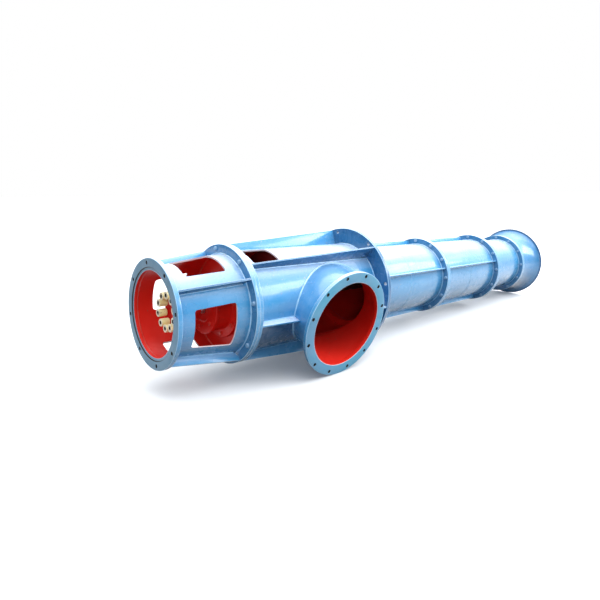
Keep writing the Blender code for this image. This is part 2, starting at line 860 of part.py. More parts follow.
def rim_points(centre, axis, radius, sides):
    """Corners of one flange rim, where it could touch the floor."""
    first = Vector((1.0, 0.0, 0.0))
    second = axis.cross(first)
    points = []
    for index in range(sides):
        turn = math.tau * index / sides
        points.append(centre + radius * (math.cos(turn) * first + math.sin(turn) * second))
    return points


def resting_up():
    """Find which way is up when the three rims lie on the floor.

    The lowest corner of each rim gives a plane. Its normal names new lowest corners,
    and after a few rounds they no longer change.
    """
    shaft = Vector((0.0, 0.0, 1.0))
    outlet = direction(0.0)
    rims = []
    for height in (0.0, BASE_TOP_Z):
        rims.append(rim_points(shaft * height, shaft, BASE_FLANGE_R, FLANGE_SIDES))
    base = rims[0] + rims[1]
    bell = rim_points(shaft * BELL_RIM_Z, shaft, BELL_RIM_R, FLANGE_SIDES)
    outlet_rim = []
    for reach in (OUTLET_FACE - OUTLET_FLANGE_T, OUTLET_FACE):
        centre = shaft * OUTLET_Z + outlet * reach
        outlet_rim += rim_points(centre, outlet, OUTLET_FLANGE_R, FLANGE_SIDES)
    up = Vector((1.0, 0.0, 0.0))
    for _ in range(SETTLE_ROUNDS):
        feet = [min(rim, key=up.dot) for rim in (base, bell, outlet_rim)]
        normal = (feet[1] - feet[0]).cross(feet[2] - feet[0]).normalized()
        up = normal if normal.dot(up) > 0 else -normal
    return up


def lay_down(pump):
    """Turn the pump onto its three rims and put the origin under its middle."""
    up = resting_up()
    down_shaft = Vector((0.0, 0.0, -1.0))
    along = (down_shaft - up * down_shaft.dot(up)).normalized()
    across = up.cross(along)
    turn = Matrix((along, across, up))
    pump.matrix_world = turn.to_4x4()
    bpy.context.view_layer.update()
    graph = bpy.context.evaluated_depsgraph_get()
    low = Vector((math.inf,) * 3)
    high = -low
    for item in bpy.context.scene.objects:
        if item.type != "MESH" or item.hide_render:
            continue
        solid = item.evaluated_get(graph)
        for vertex in solid.data.vertices:
            place = item.matrix_world @ vertex.co
            low = Vector(map(min, low, place))
            high = Vector(map(max, high, place))
    pump.location = Vector((-(low.x + high.x) / 2, -(low.y + high.y) / 2, -low.z))


def main():
    clear_scene()
    pump = bpy.data.objects.new("pump_frame", None)
    bpy.context.collection.objects.link(pump)
    rotor = bpy.data.objects.new("rotor_axis", None)
    bpy.context.collection.objects.link(rotor)
    rotor.parent = pump

    build_stand(pump)
    build_bearing_housing(pump)
    build_discharge_body(pump)
    build_closing_plate(pump)
    build_base(pump)
    build_column(pump, 1, 0.0, COLUMN_JOINT_Z, BASE_RECESS_DEPTH)
    build_column(pump, 2, COLUMN_JOINT_Z, BOWL_JOINT_Z, 0.0)
    build_bowl(pump)
    build_rotor(rotor)
    lay_down(pump)


main()
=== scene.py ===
"""Looks of the long-column axial flow pump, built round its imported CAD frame.

Every piece is drawn in the pump's own frame, as in the part's source: +Z runs up the
shaft to the motor end, the origin is the centre of the base flange's underside, and the
outlet points along -Y. pump_frame() finds that frame from the record, and each finished
mesh is moved from it into the row frame, where the pump lies on its side.
"""

import json
import math
from collections import namedtuple

import bmesh
import bpy
from mathutils import Matrix, Vector, noise


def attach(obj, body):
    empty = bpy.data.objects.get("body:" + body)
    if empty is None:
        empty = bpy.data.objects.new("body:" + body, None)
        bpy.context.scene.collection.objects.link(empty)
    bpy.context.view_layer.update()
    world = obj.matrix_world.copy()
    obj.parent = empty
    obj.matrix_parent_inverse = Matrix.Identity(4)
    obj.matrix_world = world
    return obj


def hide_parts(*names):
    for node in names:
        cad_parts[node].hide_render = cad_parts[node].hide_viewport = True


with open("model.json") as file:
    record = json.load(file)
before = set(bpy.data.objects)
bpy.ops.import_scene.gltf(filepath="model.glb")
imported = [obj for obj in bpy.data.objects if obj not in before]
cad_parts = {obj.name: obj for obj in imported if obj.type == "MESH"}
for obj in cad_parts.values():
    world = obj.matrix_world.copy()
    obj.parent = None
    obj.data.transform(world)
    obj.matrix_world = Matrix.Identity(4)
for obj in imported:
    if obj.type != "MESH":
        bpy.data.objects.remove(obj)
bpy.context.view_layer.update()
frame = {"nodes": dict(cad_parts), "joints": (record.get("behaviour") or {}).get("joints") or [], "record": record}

MM = 0.001

Size = namedtuple("Size", "inner outer low high")
Circle = namedtuple("Circle", "radius count scale", defaults=(1.0,))

# Rounds and edges
ROUND_SIDES = 144
FINE_SIDES = 96
BUSH_SIDES = 40
SMALL_SIDES = 28
EDGE_R = 3.0 * MM
CUT_EDGE_R = 1.5 * MM
STRIP_WIDTH = 2.2 * MM
CAST_EDGE_R = 7.0 * MM
RIB_BEVEL = 1.6 * MM
SMOOTH_ANGLE = math.radians(38)

# Places closer than SAME count as one, and corners closer than MERGE are joined; a bead or
# a bush reaches into what carries it by OVERLAP; two solids of the part lie JOINT_GAP apart
SAME = 1 * MM
MERGE = 0.01 * MM
OVERLAP = 2 * MM
JOINT_GAP = 0.3 * MM

# Motor flange and base flange, as in the part's source
SPIGOT_R = 275 * MM
SPIGOT_DEPTH = 6 * MM
BASE_RECESS_R = 348 * MM
BASE_RECESS_DEPTH = 3 * MM

# Circles of holes and of bolts: radius, count, and size of the bolts against M16
BOLT_HOLE_R = 12 * MM
HOLE_LIP = 0.5 * MM
HOLE_SLACK = 1.02
MOTOR_HOLES = Circle(302 * MM, 8)
BASE_HOLES = Circle(432 * MM, 8)
OUTLET_HOLES = Circle(335 * MM, 12)
STAND_BOLTS = Circle(360 * MM, 8)
BASE_BOLTS = Circle(320 * MM, 12)
COLUMN_BOLTS = Circle(321 * MM, 12)
BELL_BOLTS = Circle(292 * MM, 12, 0.85)
HOUSING_FOOT_BOLTS = Circle(188 * MM, 8, 0.9)
HOUSING_COVER_BOLTS = Circle(130 * MM, 6, 0.75)
GLAND_BOLTS = Circle(90 * MM, 4, 0.75)
GLAND_FOOT_BOLTS = Circle(92 * MM, 6, 0.75)

# M16 bolt. Each head is turned further than the last, in degrees, and a bolt's hidden end
# lies BURIED deep in the metal
BOLT_R = 8 * MM
HEAD_ACROSS = 24 * MM
HEAD_T = 10 * MM
WASHER_T = 2.5 * MM
WASHER_EDGE_R = 0.6 * MM
HEAD_TURN = 73.0
BURIED = 8 * MM

# Walls, windows and the hand hole
TUBE_WALL = 10 * MM
COLUMN_WALL = 8 * MM
WINDOW_MID_Z = 1394 * MM
WINDOW_CORNER = 19.2 * MM
# Width at the top, width at the foot and height of a window
LARGE_WINDOW = (232 * MM, 278 * MM, 261 * MM)
SMALL_WINDOW = (204 * MM, 250 * MM, 234 * MM)
HAND_HOLE = (192 * MM, 192 * MM, 214 * MM)
# On the outlet side, the upper side, the back and the lower side
STAND_WINDOWS = (LARGE_WINDOW, LARGE_WINDOW, SMALL_WINDOW, SMALL_WINDOW)
HAND_HOLE_ANGLE = 84.2
HAND_HOLE_MID_Z = 952 * MM

# Ribs: thickness, and angles in degrees round the shaft
RIB_T = 12 * MM
COLUMN_RIB_T = 10 * MM
STAND_RIB_ANGLE = 45
COLUMN_RIB_ANGLE = 30
DISCHARGE_RIB_STEP = 60
STAND_BEAD_START = 30 * MM

# Closing plate over the water way: flat round the shaft, sloped beyond
DEFLECTOR_Z = 815 * MM
DEFLECTOR_FLAT_R = 120 * MM
DEFLECTOR_SLOPE = 0.1

# Painted shade on the body between the outlet's ribs and the rib below them, in degrees round the shaft
SHADED_SECTOR = 60.0

# The branch is a hood: a long oval on the body that turns round towards its flange
BRANCH_ROOT_REACH = 200 * MM
BRANCH_ROOT_Z = 434 * MM
BRANCH_ROOT_HALF_LENGTH = 381 * MM
BRANCH_ROOT_HALF_WIDTH = 284 * MM
BRANCH_END_R = 298 * MM
BRANCH_SIDES = 160
BRANCH_ROWS = 14
SEAM_ROUNDS = 12
SEAM_BEAD_POINTS = 420
END_BEAD_POINTS = 380
OUTLET_Z = 565 * MM
WATER_WAY_START = 80 * MM

# Coupling bushes
PIN_CIRCLE_R = 102 * MM
PIN_COUNT = 10
PIN_FIRST_ANGLE = 25.6
BUSH_R = 24 * MM
BUSH_HOLE_R = 12 * MM
BUSH_HOLE_DEPTH = 16 * MM
BUSH_LENGTH = 68 * MM
BUSH_NECK_R = 19 * MM
BUSH_NECK_LENGTH = 15 * MM
BUSH_EDGE_R = 2 * MM

# Weld beads: in corners, along ribs, round the branch and round a pipe
BEAD_R = 6.0 * MM
RIB_BEAD_R = 0.8 * BEAD_R
BRANCH_BEAD_R = 1.2 * BEAD_R
PIPE_BEAD_R = 0.7 * BEAD_R
BEAD_STEP = 5.0 * MM
BEAD_SIDES = 6
# A bead's ripple along it and its slow swelling, as shares of its radius
RIPPLE_LENGTH = 11.0 * MM
RIPPLE = 0.10
SWELL = 0.35
SWELL_SCALE = 38.0

# Suction bell, with a band of painted shade round its rim
BELL_STEPS = 28
BELL_LIP = 5 * MM

# Guide vanes and impeller. Blades start inside the hub, at a share of its radius
VANE_COUNT = 6
VANE_TOP_Z = -2010 * MM
VANE_END_Z = -2270 * MM
VANE_SWEEP = 34.0
VANE_T = 9 * MM
VANE_CLEARANCE = 0.6 * MM
VANE_ROOT = 0.8
BLADE_COUNT = 4
BLADE_T = 15 * MM
BLADE_MID_Z = -2440 * MM
BLADE_HALF_HEIGHT = 62 * MM
BLADE_HALF_SWEEP = 36.0
BLADE_ROOT = 0.9
BLADE_ROWS = 24
BLADE_SPANS = 8
THIN_EDGE = 0.12
TIP_CLEARANCE = 5.5 * MM
HUB_R = 112 * MM
HUB_TOP_R = 62 * MM
NOSE_STEPS = 16

# Camera, in the pump's frame: it looks at the motor end and the outlet from above
CAMERA_AT = (1.2201, -2.4096, 2.8446)
CAMERA_RIGHT = (0.1617, -0.6463, -0.7458)
CAMERA_BACK = (0.2785, -0.6951, 0.6628)
LENS = 29.0
SENSOR = 36.0
SHIFT_Y = -0.0667

FLOOR_SIZE = 600.0
FLOOR_Z = -0.5 * MM

# Light: which way the room brightens, where its floor begins, and how bright it is from
# there (0) to straight up (1)
ROOM_UP = (0.35, 0.05, 0.94)
ROOM_LOW = -0.10
ROOM_LEVELS = ((0.0, 0.03), (1.0, 1.0), (0.10, 0.30), (0.40, 0.50), (0.70, 0.80))
ROOM_TINT = (0.95, 0.98, 1.0)
ROOM_STRENGTH = 2.4

# Area lights: place, size and power
LAMPS = {
    "ceiling": ((0.3, -0.8, 4.5), (9.0, 4.5), 240.0),
    "side_window": ((3.8, -4.0, 3.1), (5.0, 2.0), 220.0),
    "front_fill": ((-4.8, -3.3, 1.5), (2.5, 2.0), 48.0),
}
WARM_WHITE = (1.0, 0.99, 0.97)
LIT_PLACE = (-0.4, 0.0, 0.4)


def pump_frame():
    """The pump's own frame as a matrix, from the joint's axis and the outlet's mount."""
    joint = frame["joints"][0]
    mounts = {mount["name"]: mount for mount in frame["record"]["mounts"]}
    up = -Vector(joint["axis"]).normalized()
    back = -Vector(mounts["discharge_flange_face"]["axis"])
    side = back.cross(up).normalized()
    back = up.cross(side)
    matrix = Matrix((side, back, up)).transposed().to_4x4()
    matrix.translation = Vector(joint["pos_m"])
    return matrix


PUMP = pump_frame()
TO_PUMP = PUMP.inverted()


def points_of(node):
    """Corners of a CAD node, in the pump's frame."""
    return [TO_PUMP @ vertex.co for vertex in frame["nodes"][node].data.vertices]


def size_of(node):
    """Radii from the shaft, and lowest and highest place along it, of a CAD node."""
    points = points_of(node)
    radii = [point.xy.length for point in points]
    heights = [point.z for point in points]
    return Size(min(radii), max(radii), min(heights), max(heights))


def outer_at(node, height):
    """Outer radius of a CAD node at one height."""
    return max(p.xy.length for p in points_of(node) if abs(p.z - height) < SAME)


def size_of_outlet():
    """Radii of the outlet flange, and how far from the shaft its back and its face are."""
    points = points_of("discharge_flange")
    radii = [math.hypot(point.x, point.z - OUTLET_Z) for point in points]
    reaches = [-point.y for point in points]
    return Size(min(radii), max(radii), min(reaches), max(reaches))


OUTLET = size_of_outlet()


def direction(angle):
    """Unit vector round the shaft: 0 degrees at the outlet, 90 at the upper side."""
    turn = math.radians(angle)
    return Vector((math.sin(turn), -math.cos(turn), 0.0))


def spot(angle, radius, height=0.0):
    """Point at an angle round the shaft, a radius from it and a height along it."""
    place = direction(angle) * radius
    place.z = height
    return place


def on_circle(circle, index):
    """Place of a hole or bolt: each circle straddles the outlet's centreline."""
    return spot(360 / circle.count * (index + 0.5), circle.radius)


# Materials

class Graph:
    """Short way to build a material's nodes."""

    def __init__(self, name):
        self.material = bpy.data.materials.new(name)
        self.material.use_nodes = True
        self.nodes = self.material.node_tree.nodes
        self.links = self.material.node_tree.links
        self.shader = self.nodes["Principled BSDF"]
        self.place = self.add("ShaderNodeTexCoord").outputs["Object"]

    def add(self, kind, **inputs):
        node = self.nodes.new(kind)
        for key, value in inputs.items():
            self.feed(node, key.replace("_", " "), value)
        return node

    def feed(self, node, key, value):
        socket = node.inputs[int(key) if key.isdigit() else key]
        if isinstance(value, bpy.types.NodeSocket):
            self.links.new(value, socket)
        else:
            socket.default_value = value

    def noise(self, scale, detail=4.0, roughness=0.5, stretch=None):
        place = self.place
        if stretch:
            place = self.add("ShaderNodeMapping", Vector=place, Scale=stretch).outputs[0]
        kind = "ShaderNodeTexNoise"
        node = self.add(kind, Vector=place, Scale=scale, Detail=detail, Roughness=roughness)
        return node.outputs["Fac"]

    def span(self, value, low, high, to_low=0.0, to_high=1.0):
        node = self.nodes.new("ShaderNodeMapRange")
        for index, item in enumerate((value, low, high, to_low, to_high)):
            self.feed(node, str(index), item)
        return node.outputs[0]

    def math(self, operation, first, second):
        node = self.nodes.new("ShaderNodeMath")
        node.operation = operation
        self.feed(node, "0", first)
        self.feed(node, "1", second)
        return node.outputs[0]

    def mix(self, factor, first, second):
        node = self.nodes.new("ShaderNodeMix")
        node.data_type = "RGBA"
        self.feed(node, "0", factor)
        for key, value in (("6", first), ("7", second)):
            self.feed(node, key, (*value, 1.0) if isinstance(value, tuple) else value)
        return node.outputs[2]

    def upward(self):
        """1 on faces that look up, 0 on faces that look sideways or down."""
        normal = self.add("ShaderNodeNewGeometry").outputs["Normal"]
        split = self.add("ShaderNodeSeparateXYZ", Vector=normal)
        return self.span(split.outputs["Z"], 0.5, 1.0)

    def bump(self, height, strength, distance, below=None):
        node = self.add("ShaderNodeBump", Height=height, Strength=strength)
        node.inputs["Distance"].default_value = distance
        if below:
            self.links.new(below, node.inputs["Normal"])
        return node.outputs[0]

    def finish(self, colour, roughness, normal, metallic=0.0, coat=0.0):
        self.feed(self.shader, "Base Color", colour)
        self.feed(self.shader, "Roughness", roughness)
        self.feed(self.shader, "Normal", normal)
        self.shader.inputs["Metallic"].default_value = metallic
        self.shader.inputs["Coat Weight"].default_value = coat
        self.shader.inputs["Coat Roughness"].default_value = 0.06
        return self.material


def enamel(name, base, deep, dust_and_highlight_colour, chip, gloss=0.2, dust_and_highlight=0.5, coat=0.6, shine=0.5):
    """Sprayed enamel on welded steel: cloudy colour, dust and a painted highlight on top, chips, orange peel."""
    graph = Graph(name)
    cloud = graph.span(graph.noise(2.6, 5.0), 0.35, 0.68)
    patch = graph.span(graph.noise(1.7, 3.0), 0.42, 0.66)
    streak = graph.span(graph.noise(3.0, 6.0, 0.6, stretch=(0.5, 5.0, 5.0)), 0.4, 0.7)
    colour = graph.mix(graph.math("MULTIPLY", cloud, 0.6), base, deep)
    faded = tuple(Vector(base).lerp(Vector(dust_and_highlight_colour), 0.07))
    colour = graph.mix(graph.math("MULTIPLY", patch, 0.4), colour, faded)
    colour = graph.mix(graph.math("MULTIPLY", streak, 0.10), colour, dust_and_highlight_colour)
    speck = graph.span(graph.noise(85.0, 3.0), 0.60, 0.75)
    # Faces that look up turn paler: partly dust, partly a painted highlight of the light from above
    cover = graph.math("MULTIPLY", graph.upward(), graph.span(cloud, 0.0, 1.0, 0.6, 1.0))
    cover = graph.math("ADD", graph.math("MULTIPLY", cover, dust_and_highlight), graph.math("MULTIPLY", speck, 0.08))
    colour = graph.mix(cover, colour, dust_and_highlight_colour)
    flakes = graph.span(graph.noise(46.0, 7.0, 0.65), 0.635, 0.66)
    worn = graph.math("MULTIPLY", flakes, graph.span(graph.noise(5.5, 2.0), 0.52, 0.6))
    colour = graph.mix(worn, colour, chip)
    rough = graph.span(graph.noise(11.0, 4.0), 0.3, 0.7, gloss, gloss + 0.14)
    rough = graph.math("ADD", rough, graph.math("MULTIPLY", worn, 0.3))
    waves = graph.bump(graph.noise(9.0, 2.0), 0.20, 4 * MM)
    peel = graph.bump(graph.noise(210.0, 2.0), 0.10, 1 * MM, waves)
    graph.shader.inputs["Specular IOR Level"].default_value = shine
    return graph.finish(colour, rough, graph.bump(worn, 0.25, -0.4 * MM, peel), coat=coat)


def metal(name, base, deep, rough, grain=(1.0, 1.0, 1.0), metallic=1.0):
    """Turned, cast or plated metal with a grain that may run one way."""
    graph = Graph(name)
    lines = graph.noise(60.0, 6.0, 0.7, stretch=grain)
    stain = graph.span(graph.noise(14.0, 5.0), 0.42, 0.72)
    colour = graph.mix(graph.span(lines, 0.3, 0.7, 0.0, 0.5), base, deep)
    colour = graph.mix(graph.math("MULTIPLY", stain, 0.5), colour, deep)
    roughness = graph.span(lines, 0.3, 0.7, rough - 0.08, rough + 0.14)
    normal = graph.bump(lines, 0.25, 0.6 * MM)
    return graph.finish(colour, roughness, normal, metallic=metallic)


# Each enamel: its colour, deeper clouds, the pale colour of dust and painted highlight on top, and what a chip
# shows
BLUE = enamel(
    "blue_paint", (0.036, 0.278, 0.57), (0.022, 0.200, 0.45), (0.84, 0.82, 0.88), (0.30, 0.33, 0.35),
    dust_and_highlight=0.7, coat=0.45,
)
# The blue with less dust and less painted highlight on top, for the hood and the bell
BLUE_LESS_DUST_AND_HIGHLIGHT = enamel(
    "blue_paint_less_dust_and_highlight", (0.045, 0.255, 0.55), (0.026, 0.180, 0.44), (0.58, 0.73, 0.85), (0.30, 0.33, 0.35),
    gloss=0.16, dust_and_highlight=0.14,
)
# Darker blue of painted shade on flange faces; their rims keep the plain blue
SHADED_FLANGE_BLUE = enamel(
    "flange_blue_painted_shade", (0.026, 0.180, 0.40), (0.016, 0.130, 0.31), (0.44, 0.60, 0.76), (0.22, 0.26, 0.30),
    dust_and_highlight=0.3,
)
# Darker blue of painted shade, for ribs and parts that lie in shade
SHADE_BLUE = enamel(
    "painted_shade_blue", (0.016, 0.125, 0.30), (0.010, 0.090, 0.23), (0.36, 0.52, 0.70), (0.18, 0.22, 0.26),
    dust_and_highlight=0.3, coat=0.4,
)
FACE = enamel(
    "motor_face_paint", (0.105, 0.245, 0.375), (0.080, 0.19, 0.30), (0.46, 0.55, 0.64), (0.22, 0.24, 0.26),
    gloss=0.42, dust_and_highlight=0.3, coat=0.0,
)
OUTLET_FACE = enamel(
    "outlet_face_paint", (0.055, 0.31, 0.49), (0.17, 0.25, 0.44), (0.50, 0.60, 0.74), (0.22, 0.24, 0.26),
    gloss=0.42, dust_and_highlight=0.3, coat=0.0,
)
RED = enamel(
    "red_paint", (0.68, 0.016, 0.009), (0.46, 0.008, 0.006), (0.74, 0.06, 0.04), (0.20, 0.09, 0.07),
    gloss=0.36, dust_and_highlight=0.1, coat=0.0, shine=0.25,
)
# Painted shade: a darker red for the inside of the body, its top flange's bore, the closing plate and the gland,
# where little light falls
SHADOWED_RED = enamel(
    "shadowed_red_paint", (0.13, 0.006, 0.006), (0.06, 0.004, 0.004), (0.24, 0.03, 0.025), (0.08, 0.05, 0.04),
    gloss=0.45, dust_and_highlight=0.1, coat=0.0,
)
# Paler blue on rounded edges: partly rubbed paint, partly a painted highlight where edges catch the light
WEAR_AND_EDGE_HIGHLIGHT = enamel(
    "rubbed_edge_and_highlight_paint", (0.30, 0.55, 0.78), (0.16, 0.40, 0.66), (0.82, 0.90, 0.94), (0.44, 0.44, 0.42),
    gloss=0.26, dust_and_highlight=0.8, coat=0.4,
)
# Pale paint of a painted highlight on cut edges and on the lit lip of the outlet's bore
EDGE_HIGHLIGHT = enamel(
    "cut_edge_highlight_paint", (0.62, 0.62, 0.70), (0.74, 0.46, 0.46), (0.88, 0.86, 0.85), (0.74, 0.66, 0.46),
    gloss=0.4, dust_and_highlight=0.4, coat=0.0,
)
# Weld beads in a paler blue than the body: a painted highlight on their ripples
WELD_HIGHLIGHT = enamel(
    "weld_paint_with_highlight", (0.26, 0.54, 0.80), (0.11, 0.35, 0.64), (0.80, 0.90, 0.95), (0.34, 0.36, 0.38),
    gloss=0.24, dust_and_highlight=0.8, coat=0.4,
)
RED_BEAD = enamel(
    "red_weld_paint", (0.64, 0.04, 0.022), (0.44, 0.014, 0.010), (0.76, 0.14, 0.09), (0.20, 0.09, 0.07),
    gloss=0.30, dust_and_highlight=0.2, coat=0.2,
)
# Bolts in a paler blue than the body: a painted highlight on their heads
BOLT_HIGHLIGHT = enamel(
    "painted_bolts_highlight", (0.20, 0.38, 0.58), (0.08, 0.20, 0.38), (0.62, 0.72, 0.80), (0.30, 0.31, 0.32),
    gloss=0.42, dust_and_highlight=0.4, coat=0.1,
)
CREAM = enamel(
    "cream_rubber", (0.97, 0.93, 0.48), (0.90, 0.80, 0.36), (0.96, 0.92, 0.74), (0.34, 0.27, 0.16),
    gloss=0.45, dust_and_highlight=0.3, coat=0.0,
)
PALE_CREAM = enamel(
    "cream_rubber_ends", (0.96, 0.93, 0.74), (0.90, 0.82, 0.55), (0.97, 0.95, 0.88), (0.40, 0.32, 0.20),
    gloss=0.45, dust_and_highlight=0.3, coat=0.0,
)
# Near black of painted shadow in hole walls, the spigot's step and the bushes' blind holes
SHADOW_DARK = metal("painted_shadow_dark", (0.035, 0.033, 0.03), (0.015, 0.014, 0.013), 0.6, metallic=0.3)
STEEL = metal("turned_steel", (0.46, 0.46, 0.47), (0.27, 0.27, 0.28), 0.30, grain=(8.0, 1.0, 1.0))
ZINC = metal("zinc_bolts", (0.62, 0.68, 0.72), (0.40, 0.47, 0.54), 0.38, metallic=0.75)
CAST = metal("impeller_metal", (0.42, 0.31, 0.17), (0.24, 0.17, 0.09), 0.42, metallic=0.9)


# Shapes

def rounded(outline, radius, steps=3):
    """Closed outline with each corner turned into a small curve."""
    points = []
    corners = [Vector(corner) for corner in outline]
    for index, corner in enumerate(corners):
        before = corners[index - 1] - corner
        after = corners[(index + 1) % len(corners)] - corner
        reach = min(radius, before.length / 3, after.length / 3)
        start = corner + before.normalized() * reach
        end = corner + after.normalized() * reach
        for step in range(steps + 1):
            share = step / steps
            points.append(start.lerp(corner, share).lerp(corner.lerp(end, share), share))
    return points


def even_turns(count):
    """Angles of points spread evenly round a loop, in radians."""
    return [math.tau * index / count for index in range(count)]


def join_loops(shape, first, second):
    """Band of faces between two closed loops of as many corners."""
    for index in range(len(first)):
        shape.faces.new((first[index - 1], first[index], second[index], second[index - 1]))


def box_outline(inner, outer, low, high):
    """Outline of a ring with a square section."""
    return [(inner, low), (outer, low), (outer, high), (inner, high)]


def turned(outline, sides=ROUND_SIDES, round_off=EDGE_R):
    """Spin a closed outline of (radius, height) points round the shaft.

    Its corners are rounded first, unless round_off is 0.
    """
    points = rounded(outline, round_off) if round_off else outline
    shape = bmesh.new()
    verts = [shape.verts.new((max(point[0], 0.0), 0.0, point[1])) for point in points]
    edges = [shape.edges.new((verts[i - 1], verts[i])) for i in range(len(verts))]
    whole = {"axis": (0, 0, 1), "cent": (0, 0, 0), "angle": math.tau, "use_merge": True}
    bmesh.ops.spin(shape, geom=verts + edges, steps=sides, **whole)
    bmesh.ops.remove_doubles(shape, verts=shape.verts, dist=MERGE)
    bmesh.ops.recalc_face_normals(shape, faces=shape.faces)
    return shape


def pipe(size, wall):
    """Plain tube, with its wall measured inwards."""
    return turned(box_outline(size.outer - wall, size.outer, size.low, size.high), round_off=0)


def prism(outline, depth_from, depth_to):
    """Extrude an outline of (x, z) points along -Y between two depths."""
    shape = bmesh.new()
    near = [shape.verts.new((x, -depth_from, z)) for x, z in outline]
    face = shape.faces.new(near)
    grown = bmesh.ops.extrude_face_region(shape, geom=[face])
    far = [item for item in grown["geom"] if isinstance(item, bmesh.types.BMVert)]
    bmesh.ops.translate(shape, verts=far, vec=(0.0, depth_from - depth_to, 0.0))
    bmesh.ops.recalc_face_normals(shape, faces=shape.faces)
    return shape


def turn_shape(shape, angle):
    """Turn a shape round the shaft, in degrees."""
    bmesh.ops.rotate(shape, verts=shape.verts, matrix=Matrix.Rotation(math.radians(angle), 3, "Z"))
    return shape


def window_outline(top_width, foot_width, height, middle_z):
    """Outline of a window, wider at its foot, with round corners."""
    low, high = middle_z - height / 2, middle_z + height / 2
    corners = [
        (-foot_width / 2, low), (foot_width / 2, low),
        (top_width / 2, high), (-top_width / 2, high),
    ]
    return rounded(corners, WINDOW_CORNER, steps=8)


def gather(*shapes):
    """Join several shapes into the first one."""
    first = shapes[0]
    for other in shapes[1:]:
        mesh = bpy.data.meshes.new("joined")
        other.to_mesh(mesh)
        other.free()
        first.from_mesh(mesh)
        bpy.data.meshes.remove(mesh)
    return first


def mesh_of(shape, name):
    """Mesh with a shape's faces; the shape itself is used up."""
    mesh = bpy.data.meshes.new(name)
    shape.to_mesh(mesh)
    shape.free()
    return mesh


def add_object(name, data):
    """Put an object with its mesh, light or camera in the scene."""
    item = bpy.data.objects.new(name, data)
    bpy.context.scene.collection.objects.link(item)
    return item


def cut(shape, *cutters):
    """Take the cutters away from a shape, and return what is left."""
    target = add_object("target", mesh_of(shape, "target"))
    tools = []
    for cutter in cutters:
        tool = add_object("tool", mesh_of(cutter, "tool"))
        modifier = target.modifiers.new("cut", "BOOLEAN")
        modifier.operation = "DIFFERENCE"
        modifier.solver = "EXACT"
        modifier.object = tool
        tools.append(tool)
    graph = bpy.context.evaluated_depsgraph_get()
    result = bmesh.new()
    result.from_mesh(target.evaluated_get(graph).data)
    for item in [target] + tools:
        mesh = item.data
        bpy.data.objects.remove(item)
        bpy.data.meshes.remove(mesh)
    return result


def add_piece(name, shape, materials, nodes=(), rule=None, body="casing"):
    """Put a finished shape in the row frame, with its materials and body."""
    bmesh.ops.recalc_face_normals(shape, faces=shape.faces)
    if rule:
        for face in shape.faces:
            face.material_index = rule(face)
    mesh = mesh_of(shape, name)
    mesh.transform(PUMP)
    mesh.shade_smooth()
    mesh.set_sharp_from_angle(angle=SMOOTH_ANGLE)
    for material in materials:
        mesh.materials.append(material)
    piece = add_object(name, mesh)
    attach(piece, body)
    if nodes:
        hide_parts(*nodes)


def facing_out(face):
    """How far a face looks away from the shaft, from -1 to 1."""
    centre = face.calc_center_median().xy
    return face.normal.xy.dot(centre.normalized()) if centre.length else 0.0


def skin_rule(face):
    """0 on the outside of a tube, 1 on its inside, 2 on cut edges."""
    out = facing_out(face)
    return 0 if out > 0.5 else 1 if out < -0.5 else 2


def thin_strip(face):
    """Whether a face is one of the narrow strips of a ground or rolled edge."""
    longest = max(edge.calc_length() for edge in face.edges)
    return face.calc_area() < STRIP_WIDTH * longest


def in_hole(face, circle):
    """Whether a face is the wall of a hole on a bolt circle round the shaft."""
    place = face.calc_center_median()
    if abs(face.normal.z) > 0.5 or abs(place.xy.length - circle.radius) > BOLT_HOLE_R:
        return False
    pitch = math.tau / circle.count
    turn = math.atan2(place.x, -place.y) / pitch - 0.5
    return abs(turn - round(turn)) * pitch * circle.radius < BOLT_HOLE_R * HOLE_SLACK


def ring_rule(radius):
    """0 on a ring's faces, 1 nearer the shaft than a radius, 2 on worn and highlighted edges, 3 on the rim."""

    def rule(face):
        if face.calc_center_median().xy.length < radius:
            return 1
        if thin_strip(face):
            return 2
        return 3 if facing_out(face) > 0.7 else 0

    return rule


# Holes, bolts and welds

def hole_cutter(centre, low, high):
    """Drill with a small countersink at both faces."""
    outline = [
        (0.0, low - HOLE_LIP), (BOLT_HOLE_R + 2 * HOLE_LIP, low - HOLE_LIP),
        (BOLT_HOLE_R, low + HOLE_LIP), (BOLT_HOLE_R, high - HOLE_LIP),
        (BOLT_HOLE_R + 2 * HOLE_LIP, high + HOLE_LIP), (0.0, high + HOLE_LIP),
    ]
    shape = turned(outline, SMALL_SIDES, 0)
    bmesh.ops.translate(shape, verts=shape.verts, vec=centre)
    return shape


def hole_circle(circle, low, high):
    """Drills for a circle of holes, as one shape."""
    return gather(*(hole_cutter(on_circle(circle, i), low, high) for i in range(circle.count)))


def hexagon(across, low, high):
    """Hexagon head or nut, with its outer corners turned off."""
    corner = across / 2 / math.cos(math.pi / 6)
    chamfer = across * 0.08
    rings = [(corner, low), (corner, high - chamfer), (across * 0.46, high)]
    shape = bmesh.new()
    loops = []
    for radius, height in rings:
        points = [(radius * math.cos(turn), radius * math.sin(turn), height) for turn in even_turns(6)]
        loops.append([shape.verts.new(point) for point in points])
    for first, second in zip(loops, loops[1:]):
        join_loops(shape, first, second)
    shape.faces.new(loops[0])
    shape.faces.new(loops[-1])
    bmesh.ops.recalc_face_normals(shape, faces=shape.faces)
    return shape


def mirrored(shape, height):
    """Turn a shape over about a level plane at a height."""
    for vertex in shape.verts:
        vertex.co.z = 2 * height - vertex.co.z
    bmesh.ops.reverse_faces(shape, faces=shape.faces)
    return shape


